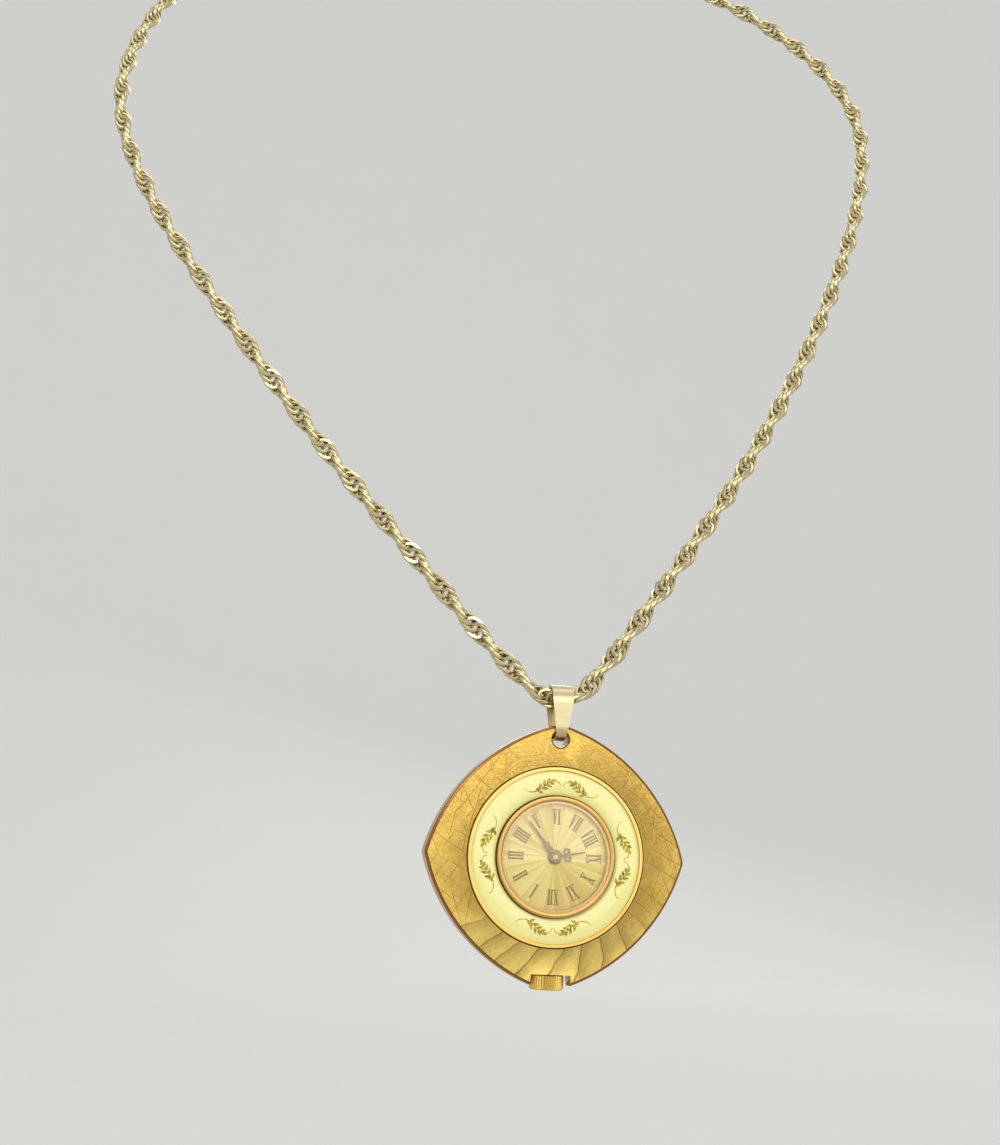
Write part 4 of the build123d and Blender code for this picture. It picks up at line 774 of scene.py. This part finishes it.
class Tree:
    """A Geometry Nodes tree in the making, with named number inputs."""

    def __init__(self, name, inputs):
        self.group = bpy.data.node_groups.new(name, "GeometryNodeTree")
        interface = self.group.interface
        interface.new_socket("Geometry", in_out="INPUT", socket_type="NodeSocketGeometry")
        interface.new_socket("Geometry", in_out="OUTPUT", socket_type="NodeSocketGeometry")
        self.identifiers = {}
        for label in inputs:
            made = interface.new_socket(label, in_out="INPUT", socket_type="NodeSocketFloat")
            self.identifiers[label] = made.identifier
        self.start = self.group.nodes.new("NodeGroupInput")
        self.end = self.group.nodes.new("NodeGroupOutput")

    def node(self, kind, settings=None, sockets=None):
        made = self.group.nodes.new(kind)
        for key, value in (settings or {}).items():
            setattr(made, key, value)
        for key, value in (sockets or {}).items():
            if isinstance(value, bpy.types.NodeSocket):
                self.group.links.new(value, made.inputs[key])
            else:
                made.inputs[key].default_value = value
        return made

    def grown(self, mesh, name, values):
        """The plain mesh that the tree makes of a mesh, with these input values."""
        carrier = bpy.data.objects.new(name, mesh)
        bpy.context.scene.collection.objects.link(carrier)
        modifier = carrier.modifiers.new(name, "NODES")
        modifier.node_group = self.group
        for label, value in values.items():
            modifier[self.identifiers[label]] = value
        bpy.context.view_layer.update()
        seen = carrier.evaluated_get(bpy.context.evaluated_depsgraph_get())
        result = bpy.data.meshes.new_from_object(seen)
        bpy.data.objects.remove(carrier)
        return result


def link_tree(finish):
    """Oval links set along a line, each turned a step further about it."""
    tree = Tree("rope_links", ["Pitch", "Turn", "Radius", "Stretch", "Wire"])
    given = tree.start.outputs
    line = tree.node("GeometryNodeMeshToCurve", {}, {"Mesh": given["Geometry"]})
    stops = tree.node(
        "GeometryNodeCurveToPoints", {"mode": "LENGTH"}, {"Curve": line.outputs[0], "Length": given["Pitch"]}
    )
    index = tree.node("GeometryNodeInputIndex")
    turned = tree.node("ShaderNodeMath", {"operation": "MULTIPLY"}, {0: index.outputs[0], 1: given["Turn"]})
    twist = tree.node("FunctionNodeAxisAngleToRotation", {}, {"Axis": (0, 0, 1), "Angle": turned.outputs[0]})
    spun = tree.node(
        "FunctionNodeRotateRotation",
        {"rotation_space": "LOCAL"},
        {0: stops.outputs["Rotation"], 1: twist.outputs[0]},
    )
    ring = tree.node(
        "GeometryNodeCurvePrimitiveCircle", {}, {"Resolution": link_round, "Radius": given["Radius"]}
    )
    wire = tree.node(
        "GeometryNodeCurvePrimitiveCircle", {}, {"Resolution": link_wire_round, "Radius": given["Wire"]}
    )
    stretch = tree.node("ShaderNodeCombineXYZ", {}, {0: 1.0, 1: given["Stretch"], 2: 1.0})
    stretched = tree.node(
        "GeometryNodeTransform", {}, {"Geometry": ring.outputs["Curve"], "Scale": stretch.outputs[0]}
    )
    oval = tree.node(
        "GeometryNodeTransform", {}, {"Geometry": stretched.outputs[0], "Rotation": (math.pi / 2, 0, 0)}
    )
    link = tree.node(
        "GeometryNodeCurveToMesh", {}, {"Curve": oval.outputs[0], "Profile Curve": wire.outputs["Curve"]}
    )
    set_out = tree.node(
        "GeometryNodeInstanceOnPoints",
        {},
        {"Points": stops.outputs["Points"], "Instance": link.outputs[0], "Rotation": spun.outputs[0]},
    )
    real = tree.node("GeometryNodeRealizeInstances", {}, {"Geometry": set_out.outputs[0]})
    coloured = tree.node("GeometryNodeSetMaterial", {}, {"Geometry": real.outputs[0], "Material": finish})
    tree.group.links.new(coloured.outputs[0], tree.end.inputs[0])
    return tree


def add_chain(finish):
    """The rope chain: open links, each through its neighbours, round the whole route."""
    line = chain_line()
    tree = link_tree(finish)
    radius = (link_width - link_wire) / 2
    values = {
        "Pitch": link_pitch,
        "Turn": math.radians(link_turn),
        "Radius": radius,
        "Stretch": (link_length - link_wire) / 2 / radius,
        "Wire": link_wire / 2,
    }
    links = tree.grown(line, "rope_links", values)
    soften(links, crisp_link_edge)
    chain = add_piece("rope_chain", links, "necklace", finish, ["chain"])


def add_clasp(finish):
    """Spring ring, its tongue and the chain's two end rings, in round wire."""
    east = Vector((1, 0, 0))
    north = Vector((0, 1, 0))
    upward = Vector((0, 0, 1))
    for side, name, node in ((-1, "left_end_ring", "end_ring_left"), (1, "right_end_ring", "end_ring_right")):
        middle = nape + east * (side * end_ring_reach)
        mesh = mesh_of(name, *bent_bar(middle, east, north, end_ring_radius, end_ring_wire))
        soften(mesh)
        add_piece(name, mesh, "necklace", finish, [node])
    eyelet_middle = clasp_middle + east * (clasp_radius + eyelet_radius)
    opened = bent_bar(clasp_middle, east, upward, clasp_radius, clasp_tube, clasp_gap[1], clasp_gap[0] + 360)
    eyelet = bent_bar(eyelet_middle, east, upward, eyelet_radius, eyelet_wire)
    mesh = mesh_of("spring_ring", *joined([opened, eyelet]))
    soften(mesh)
    add_piece("spring_ring", mesh, "necklace", finish, ["clasp_ring"])
    smooth_copy("clasp_trigger", "spring_ring_tongue", "clasp_tongue", finish)


def enamel_top(radius):
    """Height of the enamel at a radius: a shallow arch with softened edges."""
    middle = (enamel_inner + enamel_outer) / 2
    half = (enamel_outer - enamel_inner) / 2
    across = min(abs(radius - middle) / half, 1.0)
    return rim_front + enamel_crown * (1 - across**2) - enamel_edge * across**enamel_edge_power


def add_enamel(finish):
    """Enamel ring: low at its edges, gently crowned between them."""
    profile = [(enamel_inner, enamel_low)]
    for step in range(enamel_steps + 1):
        radius = enamel_inner + (enamel_outer - enamel_inner) * (step / enamel_steps)
        profile.append((radius, enamel_top(radius)))
    profile.append((enamel_outer, enamel_low))
    mesh = mesh_of("enamel_band", *spun_ring(profile))
    soften(mesh)
    add_piece("enamel_band", mesh, "watch", finish, ["enamel_ring"])


def add_bezel(finish):
    """Ring that holds the crystal: a ledge inside, a flat top and a sloping outer side."""
    profile = [
        (bezel_inner, bezel_low),
        (bezel_foot, bezel_low),
        (bezel_foot, bezel_flange),
        (bezel_outer, bezel_flange),
        (bezel_shoulder + bezel_soft / 2, bezel_top - bezel_soft),
        (bezel_shoulder - bezel_soft, bezel_top),
        (bezel_ledge + bezel_soft, bezel_top),
        (bezel_ledge, bezel_top - bezel_soft),
        (bezel_ledge, bezel_seat),
        (bezel_inner, bezel_seat),
    ]
    mesh = mesh_of("bezel", *spun_ring(profile))
    soften(mesh)
    add_piece("bezel", mesh, "watch", finish, ["crystal_ring"])


def cap_height(radius, base, low, rise):
    """Height at a radius of a shallow ball cap that rises over its round base."""
    ball = (base**2 + rise**2) / (2 * rise)
    return low + rise - ball + math.sqrt(ball**2 - radius**2)


def add_crystal(finish):
    """Domed crystal: an outer cap, a plain edge and a hollow underside."""
    profile = []
    for step in range(crystal_steps + 1):
        radius = crystal_edge * step / crystal_steps
        profile.append((radius, cap_height(radius, crystal_edge, crystal_edge_top, crystal_rise)))
    profile.append((crystal_edge, crystal_low))
    for step in range(crystal_steps, -1, -1):
        radius = crystal_hollow * step / crystal_steps
        profile.append((radius, cap_height(radius, crystal_hollow, crystal_low, crystal_hollow_rise)))
    mesh = mesh_of("crystal_dome", *spun_ring(profile))
    soften(mesh, crisp_crystal_edge)
    add_piece("crystal_dome", mesh, "watch", finish, ["crystal"])


def sprig_point(pair, along, aside):
    """Point on the enamel: along the ring and outward from the sprig's own line."""
    radius = sprig_radius + aside
    flat = polar(radius, pair + math.degrees(along / sprig_radius))
    return flat.x, flat.y, enamel_top(radius) + paint_lift


def leaf_outline(start, direction, length):
    """Pointed leaf in the flat of the enamel: places along and aside."""
    ahead = polar(1, direction)
    aside = Vector((-ahead.y, ahead.x))
    back = [(share, -half) for share, half in reversed(leaf_side)]
    return [
        start + ahead * (length * share) + aside * (leaf_width / 2 * half)
        for share, half in ((0, 0), *leaf_side, (1, 0), *back)
    ]


def stem_places():
    """The sprig's stem: an S whose two thin ends curl over like hooks."""
    places = [Vector((0, 0))]
    step = sprig_length / stem_runs
    for index in range(stem_runs):
        share = (index + 0.5) / stem_runs
        heading = stem_swing * math.cos(2 * math.pi * (share - stem_shift))
        heading += stem_hook * abs(2 * share - 1) ** stem_hook_power
        places.append(places[-1] + polar(step, heading))
    middle = (places[0] + places[-1]) / 2
    return [place - middle for place in places]


def sprig_outlines():
    """Outlines of one sprig: a tapering stem in short runs, side leaves and an end leaf."""
    outlines = []
    stem = stem_places()
    for index in range(stem_runs):
        first = stem[index]
        second = stem[index + 1]
        swell = math.sin(math.pi * (index + 0.5) / stem_runs) ** 2
        half = stem_half * (stem_thinnest + stem_swell * swell)
        aside = (second - first).orthogonal().normalized() * half
        outlines.append([first + aside, second + aside, second - aside, first - aside])
    for index, share in enumerate(leaf_places):
        place = round(share * stem_runs)
        start = stem[place]
        ahead = stem[place + 1] - start
        heading = math.degrees(math.atan2(ahead.y, ahead.x))
        side = 1 if index % 2 else -1
        spread = leaf_spread + leaf_sway * (index % 3 - 1)
        length = leaf_length * (1 - abs(share - leaf_longest_place) * leaf_shrink)
        outlines.append(leaf_outline(start, heading + side * spread, length))
    outlines.append(leaf_outline(start, heading, leaf_length))
    return outlines


def add_sprigs(finish):
    """Eight painted sprigs, each pair mirrored about its quarter."""
    slabs = []
    outlines = sprig_outlines()
    for axis in sprig_axes:
        for side in (-1, 1):
            pair = axis + side * sprig_offset
            for number, outline in enumerate(outlines):
                places = [sprig_point(pair, -side * place.x, -place.y) for place in outline]
                low = [on_watch(across, up, out - paint_depth) for across, up, out in places]
                high = [on_watch(across, up, out + number * paint_step) for across, up, out in places]
                slabs.append(slab(low, high))
    mesh = mesh_of("enamel_sprigs", *joined(slabs), gap=0)
    add_piece("enamel_sprigs", mesh, "watch", finish)


def numeral_strokes(numeral):
    """Bars of a Roman numeral, each a start and an end, across and outwards, and a thickness."""
    bars = []
    left = -sum(letter_widths[letter] for letter in numeral) / 2
    for letter in numeral:
        width = letter_widths[letter]
        middle = left + width / 2
        half = 0 if letter == "I" else width / 2 - letter_spread
        foot = 0 if letter == "V" else half
        bars.append(((middle + foot, numeral_inner), (middle - half, numeral_outer), numeral_stroke))
        if letter != "I":
            bars.append(((middle - foot, numeral_inner), (middle + half, numeral_outer), numeral_hair))
        reach = half + numeral_stroke / 2 + numeral_serif
        for level in (numeral_outer,) if letter == "V" else (numeral_inner, numeral_outer):
            bars.append(((middle - reach, level), (middle + reach, level), numeral_hair))
        left += width
    return bars


def numeral_bar(start, end, thickness, outward):
    """Corners of a numeral's bar, across and up the watch, for its start and end in the numeral."""
    level = start[1] == end[1]
    half = Vector((0, thickness / 2)) if level else Vector((thickness / 2, 0))
    first = Vector(start)
    last = Vector(end)
    out = polar(1, outward)
    side = Vector((out.y, -out.x))
    corners = (first - half, first + half, last + half, last - half)
    return [side * corner.x + out * corner.y for corner in corners]


def add_numerals(finish):
    """Roman numerals, heads outwards, twelve of them with the last by the crown."""
    slabs = []
    for hour, numeral in enumerate(numerals, start=1):
        outward = -90 - 30 * hour
        for number, (start, end, thickness) in enumerate(numeral_strokes(numeral), start=1):
            corners = numeral_bar(start, end, thickness, outward)
            top = dial_top + numeral_lift + number * numeral_step
            slabs.append(slab(*[[on_watch(*corner, out) for corner in corners] for out in (dial_top, top)]))
    mesh = mesh_of("dial_numerals", *joined(slabs), gap=0)
    add_piece("dial_numerals", mesh, "watch", finish)


def add_camera():
    """Camera at the photograph's angle, with the pendant at its place in the frame."""
    turn = math.radians(camera_turn)
    away = Vector((math.sin(turn), -math.cos(turn), 0))
    forward = -away
    right = forward.cross(Vector((0, 0, 1))).normalized()
    down = forward.cross(right)
    looking = Matrix((right, down, forward)).transposed()
    pixels_off = (pendant_pixel[0] - photo_width / 2, pendant_pixel[1] - photo_height / 2)
    aim = Vector((*pixels_off, focal_pixels)).normalized()
    swing = aim.rotation_difference(Vector((0, 0, 1))).to_matrix()
    roll = Matrix.Rotation(math.radians(-camera_roll), 3, "Z")
    axes = looking @ roll @ swing
    turned_axes = Matrix((axes.col[0], -axes.col[1], -axes.col[2])).transposed()
    lens = bpy.data.cameras.new("camera")
    lens.sensor_fit = "HORIZONTAL"
    lens.sensor_width = sensor_width
    lens.lens = focal_pixels / photo_width * sensor_width
    lens.clip_start = camera_near
    camera = bpy.data.objects.new("camera", lens)
    place = watch_middle + away * camera_distance
    camera.matrix_world = Matrix.Translation(place) @ turned_axes.to_4x4()
    bpy.context.scene.collection.objects.link(camera)
    bpy.context.scene.camera = camera


def add_lamp(name, place, size, power, tone):
    """Soft rectangular lamp that faces the pendant."""
    lamp = bpy.data.lights.new(name, "AREA")
    lamp.shape = "RECTANGLE"
    lamp.size = size[0]
    lamp.size_y = size[1]
    lamp.energy = power
    lamp.color = tone
    holder = bpy.data.objects.new(name, lamp)
    holder.location = place
    holder.visible_camera = False
    holder.rotation_euler = (watch_middle - Vector(place)).to_track_quat("-Z", "Y").to_euler()
    bpy.context.scene.collection.objects.link(holder)


def add_stage():
    """Pale floor that curves up into a backdrop, soft lamps and a plain sky."""
    profile = [(floor_front, floor_level)]
    for step in range(bend_steps + 1):
        angle = math.radians(90 * step / bend_steps)
        depth = wall_depth - wall_bend + wall_bend * math.sin(angle)
        profile.append((depth, floor_level + wall_bend - wall_bend * math.cos(angle)))
    profile.append((wall_depth, wall_top))
    points = [(side * stage_reach, depth, level) for depth, level in profile for side in (-1, 1)]
    faces = [(2 * row, 2 * row + 1, 2 * row + 3, 2 * row + 2) for row in range(len(profile) - 1)]
    mesh = bpy.data.meshes.new("floor")
    mesh.from_pydata(points, [], faces)
    mesh.shade_smooth()
    mesh.materials.append(floor_paint())
    floor = bpy.data.objects.new("floor", mesh)
    bpy.context.scene.collection.objects.link(floor)
    for lamp in lamps:
        add_lamp(*lamp)
    sky = Finish("sky", bpy.data.worlds.new("sky"))
    camera = sky.node("ShaderNodeLightPath", output="Is Camera Ray")
    strength = seen_directly(sky) * sky_seen_over + sky_light - camera * sky_camera_under
    light = sky.node("ShaderNodeBackground", {}, {"Color": sky_colour, "Strength": strength})
    sky.node("ShaderNodeOutputWorld", {}, {"Surface": light})
    bpy.context.scene.world = sky.material
    bpy.context.scene.view_settings.view_transform = "Standard"


def dress_nodes():
    """Give every remaining CAD node the finish of its material slot."""
    gilt = (shade(206, 176, 108), shade(170, 138, 76))
    brass = (shade(214, 180, 96), shade(176, 138, 62))
    steel = (shade(176, 176, 178), shade(120, 121, 124))
    blue = (shade(72, 84, 140), shade(38, 46, 92))
    bronze = (shade(158, 132, 78), shade(116, 92, 48))
    finishes = {
        "case_gold": frosted("bright_gilt", shade(234, 206, 120), shade(206, 172, 86), 5.0, 0.28),
        "pale_gold": brushed("pale_gilt", shade(226, 214, 172), shade(180, 166, 124), (0.5, 6, 0.5)),
        "movement_gilt": frosted("movement_gilt", *gilt, 7.0),
        "movement_brass": turned("movement_brass", *brass, 6.0),
        "screw_steel": brushed("polished_steel", *steel, (6, 1, 0.4), roughness=0.2),
        "spring_steel": brushed("blued_steel", *blue, (0.5, 8, 0.5), roughness=0.18),
        "rubber": rubber(),
        "dial_gold": sunburst_dial(),
        "hand_bronze": brushed("dark_gilt", *bronze, (2, 1, 2), roughness=0.34),
        "chain_gold": frosted("chain_gilt", shade(226, 214, 172), shade(186, 172, 128), 2.0, 0.2),
        "glass": clear_crystal(),
        "enamel": enamel(),
    }
    for subpart in frame["record"]["subparts"]:
        mesh = frame["nodes"][subpart["node"]].data
        mesh.materials.clear()
        mesh.materials.append(finishes[subpart["material_slot"]])
    return finishes


finishes = dress_nodes()
add_camera()
add_clasp(finishes["chain_gold"])
add_chain(finishes["chain_gold"])
smooth_copy("case_body", "case_shell", "watch", engraved_case(), crisp_case_edge)
add_bezel(bezel_gilt())
add_crystal(finishes["glass"])
back_gilt = turned("back_gilt", shade(212, 172, 88), shade(180, 138, 62), 3.0)
smooth_copy("case_back", "back_cover", "watch", back_gilt)
smooth_copy("bail", "folded_bail", "bail", finishes["pale_gold"])
add_enamel(finishes["enamel"])
add_sprigs(sprig_paint())
add_numerals(finishes["hand_bronze"])
add_stage()
